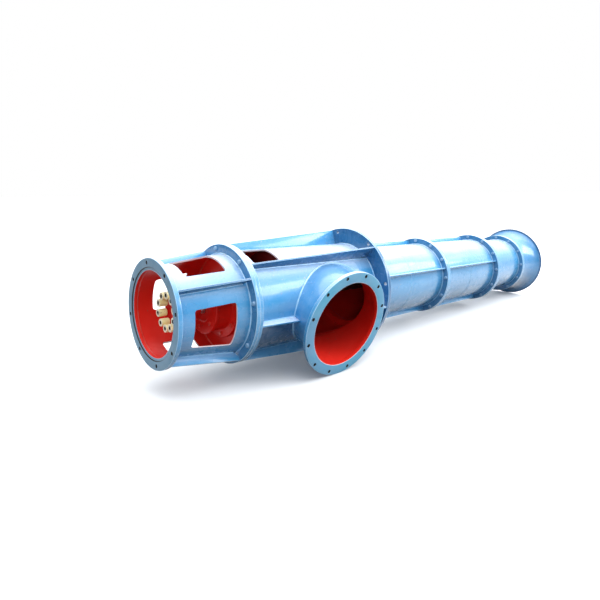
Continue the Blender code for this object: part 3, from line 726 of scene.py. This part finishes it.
def fastener(low, high, scale):
    """Bolt with its washers and nut, through plates from low to high."""
    head = HEAD_T * scale
    across = HEAD_ACROSS * scale
    washer = WASHER_T * scale
    washer_r = across * 0.6
    nut_low = low - washer - head
    shank_end = box_outline(0.0, BOLT_R * scale, nut_low - head * 0.3, nut_low + head * 0.5)
    parts = [
        turned(box_outline(0.0, washer_r, high, high + washer), SMALL_SIDES, WASHER_EDGE_R),
        hexagon(across, high + washer, high + washer + head),
        turned(box_outline(0.0, washer_r, low - washer, low), SMALL_SIDES, WASHER_EDGE_R),
        mirrored(hexagon(across, low + washer, low + washer + head), low),
        turned(shank_end, SMALL_SIDES, CUT_EDGE_R),
    ]
    return gather(*parts)


def bolt_circle(name, circle, low, high, paint=BOLT_HIGHLIGHT):
    """A ring of fasteners round the shaft, as one piece."""
    bolts = []
    for index in range(circle.count):
        bolt = turn_shape(fastener(low, high, circle.scale), index * HEAD_TURN % 60)
        bmesh.ops.translate(bolt, verts=bolt.verts, vec=on_circle(circle, index))
        bolts.append(bolt)
    add_piece(name, gather(*bolts), [paint])


def bead(points, closed=True, radius=BEAD_R):
    """Weld bead along a line of points: a low ripple like stacked coins."""
    shape = bmesh.new()
    rings = []
    count = len(points)
    travelled = 0.0
    for index, point in enumerate(points):
        before = points[index - 1] if closed or index else point
        after = points[(index + 1) % count] if closed or index < count - 1 else point
        along = (after - before).normalized()
        out = Vector((point.x, point.y, 0.0)).normalized()
        out = (out - along * out.dot(along)).normalized()
        across = along.cross(out)
        travelled += (point - points[index - 1]).length if index else 0.0
        ripple = 1.0 + RIPPLE * math.sin(math.tau * travelled / RIPPLE_LENGTH)
        swell = ripple + SWELL * noise.noise(point * SWELL_SCALE)
        ring = []
        for turn in even_turns(BEAD_SIDES):
            offset = out * math.cos(turn) + across * math.sin(turn)
            ring.append(shape.verts.new(point + offset * radius * swell))
        rings.append(ring)
    pairs = list(zip(rings, rings[1:]))
    if closed:
        pairs.append((rings[-1], rings[0]))
    else:
        shape.faces.new(rings[0])
        shape.faces.new(rings[-1])
    for first, second in pairs:
        join_loops(shape, first, second)
    return shape


def ring_bead(radius, height, size=BEAD_R):
    """Bead round the shaft in the corner between a tube and a flange."""
    count = int(math.tau * radius / BEAD_STEP)
    points = [spot(360 * index / count, radius, height) for index in range(count)]
    return bead(points, radius=size)


def line_bead(start, end):
    """Straight bead, closed at both ends."""
    count = max(int((end - start).length / BEAD_STEP), 2)
    points = [start.lerp(end, index / count) for index in range(count + 1)]
    return bead(points, closed=False, radius=RIB_BEAD_R)


def rib_beads(angle, thickness, foot, head):
    """The two beads along a rib's root; foot and head are (radius, height)."""
    side = direction(angle + 90.0) * thickness / 2
    start, end = spot(angle, *foot), spot(angle, *head)
    return [line_bead(start - side, end - side), line_bead(start + side, end + side)]


def rib_rule(face):
    """0 on a rib's faces, 1 on its worn and highlighted edges."""
    return 1 if thin_strip(face) else 0


def add_ribs(names, paint=BLUE):
    """Flat ribs from their CAD solids, with their edges ground round."""
    for name in names:
        shape = bmesh.new()
        shape.from_mesh(frame["nodes"][name].data)
        bmesh.ops.transform(shape, matrix=TO_PUMP, verts=shape.verts)
        bmesh.ops.remove_doubles(shape, verts=shape.verts, dist=MERGE)
        flat = {"angle_limit": math.radians(1), "verts": shape.verts, "edges": shape.edges}
        bmesh.ops.dissolve_limit(shape, **flat)
        ground = {"offset": RIB_BEVEL, "segments": 2, "affect": "EDGES", "profile": 0.5}
        bmesh.ops.bevel(shape, geom=shape.edges[:], **ground)
        add_piece(f"{name}_plate", shape, [paint, WEAR_AND_EDGE_HIGHLIGHT], [name], rib_rule)


# Pump

def build_motor_flange():
    """Flange that carries the motor, with its spigot recess and holes."""
    size = size_of("motor_flange")
    outline = [
        (size.inner, size.low), (size.outer, size.low),
        (size.outer, size.high), (SPIGOT_R, size.high),
        (SPIGOT_R, size.high - SPIGOT_DEPTH), (size.inner, size.high - SPIGOT_DEPTH),
    ]
    shape = cut(turned(outline), hole_circle(MOTOR_HOLES, size.low, size.high))

    def rule(face):
        radius = face.calc_center_median().xy.length
        if radius < size.inner + EDGE_R and facing_out(face) < -0.5:
            return 1
        # Hole walls and the spigot's step take painted shadow
        if in_hole(face, MOTOR_HOLES) or abs(radius - SPIGOT_R) < EDGE_R:
            return 3
        if thin_strip(face):
            return 4
        return 2 if face.normal.z > 0.7 else 0

    paints = [BLUE, RED, FACE, SHADOW_DARK, WEAR_AND_EDGE_HIGHLIGHT]
    add_piece("motor_flange_plate", shape, paints, ["motor_flange"], rule)


def build_stand():
    """Cone with its windows, foot plate, ribs, bolts and welds."""
    shell = size_of("stand_shell")
    top_r = outer_at("stand_shell", shell.high)
    outline = [
        (shell.outer - TUBE_WALL, shell.low), (shell.outer, shell.low),
        (top_r, shell.high), (top_r - TUBE_WALL, shell.high),
    ]
    shape = turned(outline, round_off=0)
    windows = []
    for index, sizes in enumerate(STAND_WINDOWS):
        window = prism(window_outline(*sizes, WINDOW_MID_Z), top_r / 2, shell.outer * 1.1)
        windows.append(turn_shape(window, 90 * index))
    shape = cut(shape, *windows)
    add_piece("stand_cone", shape, [BLUE, RED, EDGE_HIGHLIGHT], ["stand_shell"], skin_rule)
    add_flange("stand_foot_plate", shell.outer - TUBE_WALL)
    # The first rib takes painted shade
    add_ribs(["stand_rib_1"], SHADE_BLUE)
    add_ribs([f"stand_rib_{index}" for index in range(2, 5)])

    joint_low = size_of("discharge_top_flange").low
    bolt_circle("stand_bolts", STAND_BOLTS, joint_low, size_of("stand_foot_plate").high)
    beads = [ring_bead(top_r, shell.high), ring_bead(shell.outer, shell.low)]
    foot, head = (shell.outer, shell.low + STAND_BEAD_START), (top_r, shell.high)
    for index in range(4):
        beads += rib_beads(STAND_RIB_ANGLE + 90 * index, RIB_T, foot, head)
    inner_beads = [
        ring_bead(top_r - TUBE_WALL, shell.high - OVERLAP),
        ring_bead(shell.outer - TUBE_WALL, shell.low + OVERLAP),
    ]
    add_piece("stand_welds", gather(*beads), [WELD_HIGHLIGHT])
    add_piece("stand_inner_welds", gather(*inner_beads), [RED_BEAD])


def add_flange(node, red_r=0.0, red=RED):
    """Finer copy of a plain ring, with its edges broken; it is red up to a radius."""
    size = size_of(node)
    red_r = max(red_r, size.inner + EDGE_R)
    outline = [
        (size.inner, size.low), (red_r, size.low),
        (size.outer, size.low), (size.outer, size.high),
        (red_r, size.high), (size.inner, size.high),
    ]
    # Flange faces take the painted shade, the rim the plain blue
    paints = [SHADED_FLANGE_BLUE, red, WEAR_AND_EDGE_HIGHLIGHT, BLUE]
    add_piece(f"{node}_ring", turned(outline), paints, [node], ring_rule(red_r))


def build_housing():
    """Bearing housing: a cast drum with a foot, a dished cover, and their screws."""
    size = size_of("bearing_housing")
    wall, body_r, cover_r = 22 * MM, 160 * MM, 170 * MM
    dish_r, dish_floor_r, dish_depth = 95 * MM, 90 * MM, 6 * MM
    foot_top, rim_low = size.low + wall, size.high - wall
    outline = [
        (body_r - wall, size.low), (size.outer, size.low),
        (size.outer, foot_top), (body_r, foot_top),
        (body_r, rim_low), (cover_r, rim_low),
        (cover_r, size.high), (dish_r, size.high),
        (dish_floor_r, size.high - dish_depth), (size.inner, size.high - dish_depth),
        (size.inner, rim_low), (body_r - wall, rim_low),
    ]
    shape = turned(outline, round_off=CAST_EDGE_R / 2)
    add_piece("bearing_drum", shape, [RED], ["bearing_housing"])
    bolt_circle("bearing_foot_bolts", HOUSING_FOOT_BOLTS, size.low + BURIED, foot_top, RED_BEAD)
    bolt_circle("bearing_cover_bolts", HOUSING_COVER_BOLTS, rim_low + BURIED, size.high, RED_BEAD)


def build_coupling():
    """Pump half of the coupling: a red disc on a boss, with cream bushes."""
    size = size_of("coupling_half")
    boss_r, disc_r, disc_t, edge_r = 75 * MM, 140 * MM, 40 * MM, 2.5 * MM
    face_z = size.high - BUSH_LENGTH
    disc_low = face_z - disc_t
    outline = [
        (size.inner, size.low), (boss_r, size.low),
        (boss_r, disc_low), (disc_r, disc_low),
        (disc_r, face_z), (size.inner, face_z),
    ]
    shape = turned(outline, round_off=edge_r)
    add_piece("coupling_disc", shape, [RED], ["coupling_half"], body="rotor")
    for index in range(PIN_COUNT):
        add_bush(index, face_z)


def build_shaft():
    """Main shaft, with a turned centre in its end."""
    shaft = size_of("shaft")
    centre_r, centre_depth = 9 * MM, 8 * MM
    outline = [
        (0.0, shaft.low), (shaft.outer, shaft.low),
        (shaft.outer, shaft.high), (centre_r, shaft.high),
        (0.0, shaft.high - centre_depth),
    ]
    shape = turned(outline, FINE_SIDES, CUT_EDGE_R)
    add_piece("main_shaft", shape, [STEEL], ["shaft"], body="rotor")


def add_bush(index, face_z):
    """One bush on its red neck, with a blind hole in its end."""
    middle = spot(PIN_FIRST_ANGLE + 360 / PIN_COUNT * index, PIN_CIRCLE_R)
    end = face_z + BUSH_LENGTH
    collar = face_z + BUSH_NECK_LENGTH
    outline = [
        (0.0, face_z - OVERLAP), (BUSH_NECK_R, face_z - OVERLAP),
        (BUSH_NECK_R, collar), (BUSH_R, collar),
        (BUSH_R, end), (BUSH_HOLE_R, end),
        (BUSH_HOLE_R, end - BUSH_HOLE_DEPTH), (0.0, end - BUSH_HOLE_DEPTH),
    ]
    shape = turned(outline, BUSH_SIDES, BUSH_EDGE_R)
    bmesh.ops.translate(shape, verts=shape.verts, vec=middle)

    def rule(face):
        centre = face.calc_center_median()
        # The blind hole takes painted shadow
        if (centre.xy - middle.xy).length < BUSH_HOLE_R * HOLE_SLACK and centre.z > face_z:
            return 1
        if centre.z < collar - SAME:
            return 3
        return 2 if centre.z > end - EDGE_R else 0

    name, paints = f"coupling_bush_{index + 1}", [CREAM, SHADOW_DARK, PALE_CREAM, RED]
    add_piece(name, shape, paints, (), rule, "rotor")


def branch_point(turn, reach, inset=0.0):
    """Point on the hood of the branch, or on a surface inset from it."""
    share = (reach - BRANCH_ROOT_REACH) / (OUTLET.low - BRANCH_ROOT_REACH)
    middle = BRANCH_ROOT_Z + share * (OUTLET_Z - BRANCH_ROOT_Z)
    length = BRANCH_ROOT_HALF_LENGTH + share * (BRANCH_END_R - BRANCH_ROOT_HALF_LENGTH)
    width = BRANCH_ROOT_HALF_WIDTH + share * (BRANCH_END_R - BRANCH_ROOT_HALF_WIDTH)
    x = (width - inset) * math.sin(turn)
    return Vector((x, -reach, middle + (length - inset) * math.cos(turn)))


def seam_point(turn, body_r, inset=0.0):
    """Where the hood meets a cylinder round the shaft, found in a few rounds."""
    reach = body_r
    for _ in range(SEAM_ROUNDS):
        x = branch_point(turn, reach, inset).x
        reach = math.sqrt(max(body_r * body_r - x * x, 0.0))
    return branch_point(turn, reach, inset)


def build_hood(body_r):
    """Hood of the branch, open towards the body and the flange."""
    shape = bmesh.new()
    grids = []
    for inset in (0.0, TUBE_WALL):
        starts = [(turn, -seam_point(turn, body_r, inset).y) for turn in even_turns(BRANCH_SIDES)]
        grid = []
        for row in range(BRANCH_ROWS + 1):
            ring = []
            for turn, start in starts:
                reach = start + (OUTLET.low - start) * row / BRANCH_ROWS
                ring.append(shape.verts.new(branch_point(turn, reach, inset)))
            grid.append(ring)
        grids.append(grid)
    outside, inside = grids
    for grid in grids:
        for first, second in zip(grid, grid[1:]):
            join_loops(shape, first, second)
    join_loops(shape, outside[0], inside[0])
    join_loops(shape, outside[-1], inside[-1])
    inner_verts = {vertex for ring in inside + outside[-1:] for vertex in ring}
    for face in shape.faces:
        face.material_index = int(inner_verts.issuperset(face.verts))
    add_piece("branch_hood", shape, [BLUE_LESS_DUST_AND_HIGHLIGHT, RED], ["discharge_branch"])


def build_outlet_flange():
    """Flange of the outlet: turned round the shaft, then tipped towards the outlet."""
    shape = turned(box_outline(*OUTLET))
    shape = cut(shape, hole_circle(OUTLET_HOLES, OUTLET.low, OUTLET.high))

    def rule(face):
        if face.calc_center_median().xy.length < OUTLET.inner + EDGE_R:
            # Up-facing strips of the bore's lip take the painted highlight
            return 5 if thin_strip(face) and face.normal.z > 0.2 else 1
        # Hole walls take painted shadow
        if in_hole(face, OUTLET_HOLES):
            return 3
        if thin_strip(face):
            return 4
        return 2 if face.normal.z > 0.7 else 0

    for face in shape.faces:
        face.material_index = rule(face)
    bmesh.ops.rotate(shape, verts=shape.verts, matrix=Matrix.Rotation(math.pi / 2, 3, "X"))
    bmesh.ops.translate(shape, verts=shape.verts, vec=(0.0, 0.0, OUTLET_Z))
    paints = [BLUE, RED, OUTLET_FACE, SHADOW_DARK, WEAR_AND_EDGE_HIGHLIGHT, EDGE_HIGHLIGHT]
    add_piece("outlet_flange_plate", shape, paints, ["discharge_flange"])


def build_branch(body_r):
    """Hood of the branch, its flange, and the welds at both ends."""
    build_hood(body_r)
    build_outlet_flange()
    seam = [seam_point(turn, body_r) for turn in even_turns(SEAM_BEAD_POINTS)]
    end = [branch_point(turn, OUTLET.low) for turn in even_turns(END_BEAD_POINTS)]
    beads = gather(bead(seam, radius=BRANCH_BEAD_R), bead(end))
    add_piece("branch_welds", beads, [WELD_HIGHLIGHT])


def water_way(reach_to):
    """Cutter for the way out of the body, as wide as the inside of the hood."""
    shape = bmesh.new()
    loops = []
    for reach in (WATER_WAY_START, reach_to):
        points = [branch_point(turn, reach, TUBE_WALL) for turn in even_turns(BRANCH_SIDES)]
        loops.append([shape.verts.new(point) for point in points])
        shape.faces.new(loops[-1])
    join_loops(shape, *loops)
    bmesh.ops.recalc_face_normals(shape, faces=shape.faces)
    return shape


def build_body():
    """Discharge body: tube with the hand hole and the water way, and what it carries."""
    size = size_of("discharge_shell")._replace(high=size_of("discharge_neck").high)
    red_r = size.outer - TUBE_WALL
    hole = prism(window_outline(*HAND_HOLE, HAND_HOLE_MID_Z), size.outer / 2, size.outer * 1.1)
    hole = turn_shape(hole, HAND_HOLE_ANGLE)
    shape = cut(pipe(size, TUBE_WALL), hole, water_way(size.outer * 1.05))

    def rule(face):
        kind = skin_rule(face)
        place = face.calc_center_median()
        if kind == 0:
            turn = math.degrees(math.atan2(place.x, -place.y))
            # Outside faces in the sector just below the outlet take painted shade
            return 4 if -SHADED_SECTOR < turn < 0 else 0
        if place.z < DEFLECTOR_Z:
            return 1
        # Above the closing plate the inside takes the darker red of painted shade, and cut edges the pale painted
        # highlight
        return 3 if kind == 1 else 2

    paints = [BLUE, RED, EDGE_HIGHLIGHT, SHADOWED_RED, SHADE_BLUE]
    nodes = ["discharge_shell", "discharge_neck"]
    add_piece("discharge_tube", shape, paints, nodes, rule)
    add_flange("discharge_top_flange", red_r, SHADOWED_RED)
    build_branch(size.outer)
    ribs = [f"discharge_rib_{index}" for index in range(1, 6)]
    # The first rib of the body takes painted shade
    add_ribs(ribs[:1], SHADE_BLUE)
    add_ribs(ribs[1:] + ["outlet_rib_lower", "outlet_rib_upper"])
    build_base_flange(red_r)
    build_body_welds(size)
    build_closing_plate()
    build_stuffing_box()


def build_base_flange(red_r):
    """Flange that the pump hangs on, recessed below; it is red inside a radius."""
    base = size_of("base_flange")
    outline = [
        (base.inner, BASE_RECESS_DEPTH), (BASE_RECESS_R, BASE_RECESS_DEPTH),
        (BASE_RECESS_R, base.low), (base.outer, base.low),
        (base.outer, base.high), (red_r, base.high),
        (base.inner, base.high),
    ]
    shape = cut(turned(outline), hole_circle(BASE_HOLES, base.low, base.high))
    # The base flange's faces and rim take painted shade; it is red inside
    paints = [SHADE_BLUE, RED, WEAR_AND_EDGE_HIGHLIGHT, SHADE_BLUE]
    add_piece("base_flange_plate", shape, paints, ["base_flange"], ring_rule(red_r))


def build_body_welds(size):
    """Beads at both ends of the body and along its ribs."""
    body_r = size.outer
    upper = size_of("outlet_rib_upper")
    spans = [(DISCHARGE_RIB_STEP * index, size.low, size.high) for index in range(1, 6)]
    spans.append((0, upper.low, upper.high))
    spans.append((0, size_of("outlet_rib_lower").low, seam_point(math.pi, body_r).z))
    beads = [ring_bead(body_r, size.low), ring_bead(body_r, size.high)]
    for angle, low, high in spans:
        beads += rib_beads(angle, RIB_T, (body_r, low), (body_r, high))
    add_piece("discharge_welds", gather(*beads), [WELD_HIGHLIGHT])


def build_closing_plate():
    """Warped plate over the water way."""
    size = size_of("closing_plate")
    low, top = DEFLECTOR_Z - TUBE_WALL, DEFLECTOR_Z
    outline = [
        (size.inner, low), (DEFLECTOR_FLAT_R, low),
        (size.outer, low), (size.outer, top),
        (DEFLECTOR_FLAT_R, top), (size.inner, top),
    ]
    shape = turned(outline, round_off=0)
    for vertex in shape.verts:
        if vertex.co.xy.length > DEFLECTOR_FLAT_R + SAME:
            vertex.co.z -= DEFLECTOR_SLOPE * vertex.co.y
    add_piece("closing_plate_warped", shape, [SHADOWED_RED], ["closing_plate"])


def build_stuffing_box():
    """Barrel that holds the shaft's packing, with its foot and its gland."""
    box = size_of("stuffing_box")
    barrel_r, flange_t = 70 * MM, 20 * MM
    foot = DEFLECTOR_Z + JOINT_GAP
    foot_top, gland_low = foot + flange_t, box.high - flange_t
    outline = [
        (box.inner, box.low), (barrel_r, box.low),
        (barrel_r, foot), (box.outer, foot),
        (box.outer, foot_top), (barrel_r, foot_top),
        (barrel_r, gland_low), (box.outer, gland_low),
        (box.outer, box.high), (box.inner, box.high),
    ]
    shape = turned(outline, FINE_SIDES)
    add_piece("gland_box", shape, [SHADOWED_RED], ["stuffing_box"])
    bolt_circle("gland_bolts", GLAND_BOLTS, gland_low, box.high, ZINC)
    bolt_circle("gland_foot_bolts", GLAND_FOOT_BOLTS, foot + BURIED, foot_top, RED_BEAD)


def build_column(number):
    """One column pipe with its flanges, ribs and welds."""
    name = f"column_{number}"
    add_flange(f"{name}_top_flange")
    add_flange(f"{name}_bottom_flange")
    size = size_of(f"{name}_tube")
    outer = size.outer
    paints = [BLUE, RED, BLUE]
    add_piece(f"{name}_pipe", pipe(size, COLUMN_WALL), paints, [f"{name}_tube"], skin_rule)
    add_ribs([f"{name}_rib_{index}" for index in range(1, 5)])
    middle = (size.low + size.high) / 2
    beads = [
        ring_bead(outer, size.low),
        ring_bead(outer, size.high),
        ring_bead(outer - OVERLAP, middle, PIPE_BEAD_R),
    ]
    for index in range(4):
        angle = COLUMN_RIB_ANGLE + 90 * index
        beads += rib_beads(angle, COLUMN_RIB_T, (outer, size.low), (outer, size.high))
    add_piece(f"{name}_welds", gather(*beads), [WELD_HIGHLIGHT])


def build_bowl():
    """Bowl, its flanges, and what is welded to it or turns in it."""
    add_flange("bowl_top_flange")
    add_flange("bowl_bottom_flange")
    add_flange("bell_flange")
    size = size_of("bowl_shell")
    outer = size.outer
    add_piece("bowl_pipe", pipe(size, TUBE_WALL), [BLUE, RED, BLUE], ["bowl_shell"], skin_rule)
    bell = build_bell(outer)
    beads = [
        ring_bead(outer, size.low),
        ring_bead(outer, size.high),
        ring_bead(outer, bell.high - OVERLAP),
    ]
    add_piece("bowl_welds", gather(*beads), [WELD_HIGHLIGHT])
    build_vanes(outer - TUBE_WALL)
    build_impeller(outer - TUBE_WALL)


def build_bell(neck_r):
    """Suction bell: a quarter of an ellipse, spun round the shaft."""
    bell = size_of("suction_bell")
    fall = bell.high - bell.low

    def flare(turn):
        return neck_r + (bell.outer - neck_r) * (1 - math.cos(turn))

    turns = [math.pi / 2 * step / BELL_STEPS for step in range(BELL_STEPS + 1)]
    outside = [(flare(turn), bell.high - fall * math.sin(turn)) for turn in turns]
    inside = [(radius - COLUMN_WALL, height) for radius, height in reversed(outside)]

    def rule(face):
        centre = face.calc_center_median()
        middle = flare(math.asin(min((bell.high - centre.z) / fall, 1.0))) - COLUMN_WALL / 2
        # The band round the rim takes painted shade
        if centre.z < bell.low + BELL_LIP:
            return 2
        return 1 if centre.xy.length < middle else 0

    shape = turned(outside + inside, round_off=0)
    paints = [BLUE_LESS_DUST_AND_HIGHLIGHT, RED, SHADE_BLUE]
    add_piece("bell_mouth", shape, paints, ["suction_bell"], rule)
    return bell


def blades(radii, count, thickness, rows, round_nose):
    """Twisted blades round the shaft: rows give (angle, height) down the camber line."""
    shape = bmesh.new()
    last = len(rows) - 1
    for index in range(count):
        start = 360 / count * index
        grids = []
        for side in (-0.5, 0.5):
            grid = []
            for row, (angle, height) in enumerate(rows):
                before, after = rows[max(row - 1, 0)], rows[min(row + 1, last)]
                run = math.radians(after[0] - before[0])
                drop = after[1] - before[1]
                share = row / last
                full = 2.0 * math.sqrt(share * (1.0 - share)) if round_nose else 1.0
                line = []
                for radius in radii:
                    length = math.hypot(run * radius, drop)
                    shift = side * thickness * max(full, THIN_EDGE) / length
                    turn = math.degrees(-drop * shift / radius)
                    place = spot(start + angle + turn, radius, height + run * radius * shift)
                    line.append(shape.verts.new(place))
                grid.append(line)
            grids.append(grid)
        left, right = grids
        for grid in grids:
            for first, second in zip(grid, grid[1:]):
                for k in range(len(radii) - 1):
                    shape.faces.new((first[k], first[k + 1], second[k + 1], second[k]))
        for row in range(last):
            for k in (0, -1):
                shape.faces.new((left[row][k], right[row][k], right[row + 1][k], left[row + 1][k]))
        for row in (0, last):
            for k in range(len(radii) - 1):
                shape.faces.new((left[row][k], left[row][k + 1], right[row][k + 1], right[row][k]))
    bmesh.ops.recalc_face_normals(shape, faces=shape.faces)
    return shape


def span_radii(root, tip):
    """Radii from a blade's root to its tip."""
    return [root + (tip - root) * index / BLADE_SPANS for index in range(BLADE_SPANS + 1)]


def build_vanes(bore):
    """Guide vane hub with its vanes."""
    size = size_of("guide_vanes")
    outline = [
        (size.inner, size.low), (HUB_R, size.low),
        (HUB_R, VANE_END_Z), (HUB_TOP_R, size.high),
        (size.inner, size.high),
    ]
    hub = turned(outline, FINE_SIDES, CAST_EDGE_R)
    rows = []
    for step in range(BLADE_ROWS + 1):
        share = step / BLADE_ROWS
        rows.append((VANE_SWEEP * share * share, VANE_TOP_Z + (VANE_END_Z - VANE_TOP_Z) * share))
    radii = span_radii(HUB_TOP_R * VANE_ROOT, bore - VANE_CLEARANCE)
    vanes = blades(radii, VANE_COUNT, VANE_T, rows, False)
    add_piece("vane_hub", gather(hub, vanes), [RED], ["guide_vanes"])


def build_impeller(bore):
    """Axial flow impeller: a hub with a nose and twisted blades."""
    size, shaft = size_of("impeller"), size_of("shaft")
    top, foot = -2332 * MM, -2550 * MM
    seat, bore_r = shaft.low - JOINT_GAP, shaft.outer + JOINT_GAP
    outline = [(bore_r, seat), (bore_r, top), (HUB_R, top), (HUB_R, foot)]
    for step in range(1, NOSE_STEPS):
        turn = math.pi / 2 * step / NOSE_STEPS
        outline.append((HUB_R * math.cos(turn), foot + (size.low - foot) * math.sin(turn)))
    outline += [(0.0, size.low), (0.0, seat)]
    hub = turned(outline, FINE_SIDES, 0)
    rows = []
    for step in range(BLADE_ROWS + 1):
        share = 2.0 * step / BLADE_ROWS - 1.0
        rows.append((BLADE_HALF_SWEEP * share, BLADE_MID_Z + BLADE_HALF_HEIGHT * share))
    radii = span_radii(HUB_R * BLADE_ROOT, bore - TIP_CLEARANCE)
    shape = gather(hub, blades(radii, BLADE_COUNT, BLADE_T, rows, True))
    add_piece("impeller_wheel", shape, [CAST], ["impeller"], body="rotor")


def build_joint_bolts():
    """Bolts of the joints between the base flange, columns, bowl and bell."""
    joints = (
        ("column_1_bolts", COLUMN_BOLTS, "column_2_top_flange", "column_1_bottom_flange"),
        ("column_2_bolts", COLUMN_BOLTS, "bowl_top_flange", "column_2_bottom_flange"),
        ("bell_bolts", BELL_BOLTS, "bell_flange", "bowl_bottom_flange"),
    )
    for name, circle, below, above in joints:
        bolt_circle(name, circle, size_of(below).low, size_of(above).high)
    column = size_of("column_1_top_flange")
    bolt_circle("base_bolts", BASE_BOLTS, column.low, column.high + BURIED)


# Floor, light and camera

def add_floor():
    """Plain pale floor."""
    shape = bmesh.new()
    bmesh.ops.create_grid(shape, x_segments=1, y_segments=1, size=FLOOR_SIZE)
    mesh = mesh_of(shape, "floor")
    floor = add_object("floor", mesh)
    floor.location.z = FLOOR_Z
    graph = Graph("pale_floor")
    cloud = graph.noise(1.5, 4.0)
    colour = graph.mix(graph.span(cloud, 0.3, 0.7, 0.0, 0.25), (0.82, 0.83, 0.85), (0.76, 0.78, 0.80))
    graph.finish(colour, graph.span(cloud, 0.3, 0.7, 0.55, 0.7), graph.bump(cloud, 0.02, 1 * MM))
    mesh.materials.append(graph.material)
    floor.visible_diffuse = False


def add_area(name, place, size, power):
    """One soft light, turned towards the pump."""
    light = bpy.data.lights.new(name, "AREA")
    light.shape = "RECTANGLE"
    light.size, light.size_y = size
    light.energy = power
    light.color = WARM_WHITE
    lamp = add_object(name, light)
    lamp.location = place
    lamp.rotation_euler = (Vector(LIT_PLACE) - Vector(place)).to_track_quat("-Z", "Y").to_euler()


def add_room():
    """Room that lights the pump from above and darkens downwards.

    The room itself shows plain white behind the pump.
    """
    world = bpy.data.worlds.new("studio")
    world.use_nodes = True
    nodes, links = world.node_tree.nodes, world.node_tree.links
    height = nodes.new("ShaderNodeVectorMath")
    height.operation = "DOT_PRODUCT"
    links.new(nodes.new("ShaderNodeTexCoord").outputs["Generated"], height.inputs[0])
    height.inputs[1].default_value = Vector(ROOM_UP).normalized()
    span = nodes.new("ShaderNodeMapRange")
    links.new(height.outputs["Value"], span.inputs["Value"])
    span.inputs["From Min"].default_value = ROOM_LOW
    ramp = nodes.new("ShaderNodeValToRGB")
    links.new(span.outputs[0], ramp.inputs[0])
    stops = ramp.color_ramp.elements
    for index, (place, level) in enumerate(ROOM_LEVELS):
        stop = stops[index] if index < 2 else stops.new(place)
        stop.position = place
        stop.color = (*(level * share for share in ROOM_TINT), 1.0)
    room = nodes["Background"]
    links.new(ramp.outputs[0], room.inputs["Color"])
    room.inputs["Strength"].default_value = ROOM_STRENGTH
    backdrop = nodes.new("ShaderNodeBackground")
    backdrop.inputs["Color"].default_value = (1.0, 1.0, 1.0, 1.0)
    seen = nodes.new("ShaderNodeMixShader")
    links.new(nodes.new("ShaderNodeLightPath").outputs["Is Camera Ray"], seen.inputs[0])
    links.new(room.outputs[0], seen.inputs[1])
    links.new(backdrop.outputs[0], seen.inputs[2])
    links.new(seen.outputs[0], nodes["World Output"].inputs["Surface"])
    bpy.context.scene.world = world
    bpy.context.scene.view_settings.view_transform = "Standard"


def add_camera():
    """Camera at the photograph's angle, placed in the pump's frame."""
    turn = PUMP.to_3x3()
    back = (turn @ Vector(CAMERA_BACK)).normalized()
    right = turn @ Vector(CAMERA_RIGHT)
    right = (right - back * right.dot(back)).normalized()
    up = back.cross(right)
    camera = bpy.data.cameras.new("camera")
    camera.lens = LENS
    camera.sensor_width = SENSOR
    camera.shift_y = SHIFT_Y
    rig = add_object("camera", camera)
    facing = Matrix((right, up, back)).transposed().to_4x4()
    rig.matrix_world = Matrix.Translation(PUMP @ Vector(CAMERA_AT)) @ facing
    bpy.context.scene.camera = rig


build_motor_flange()
build_stand()
build_housing()
build_coupling()
build_shaft()
build_body()
build_column(1)
build_column(2)
build_bowl()
build_joint_bolts()
add_floor()
add_room()
for lamp_name, lamp in LAMPS.items():
    add_area(lamp_name, *lamp)
add_camera()
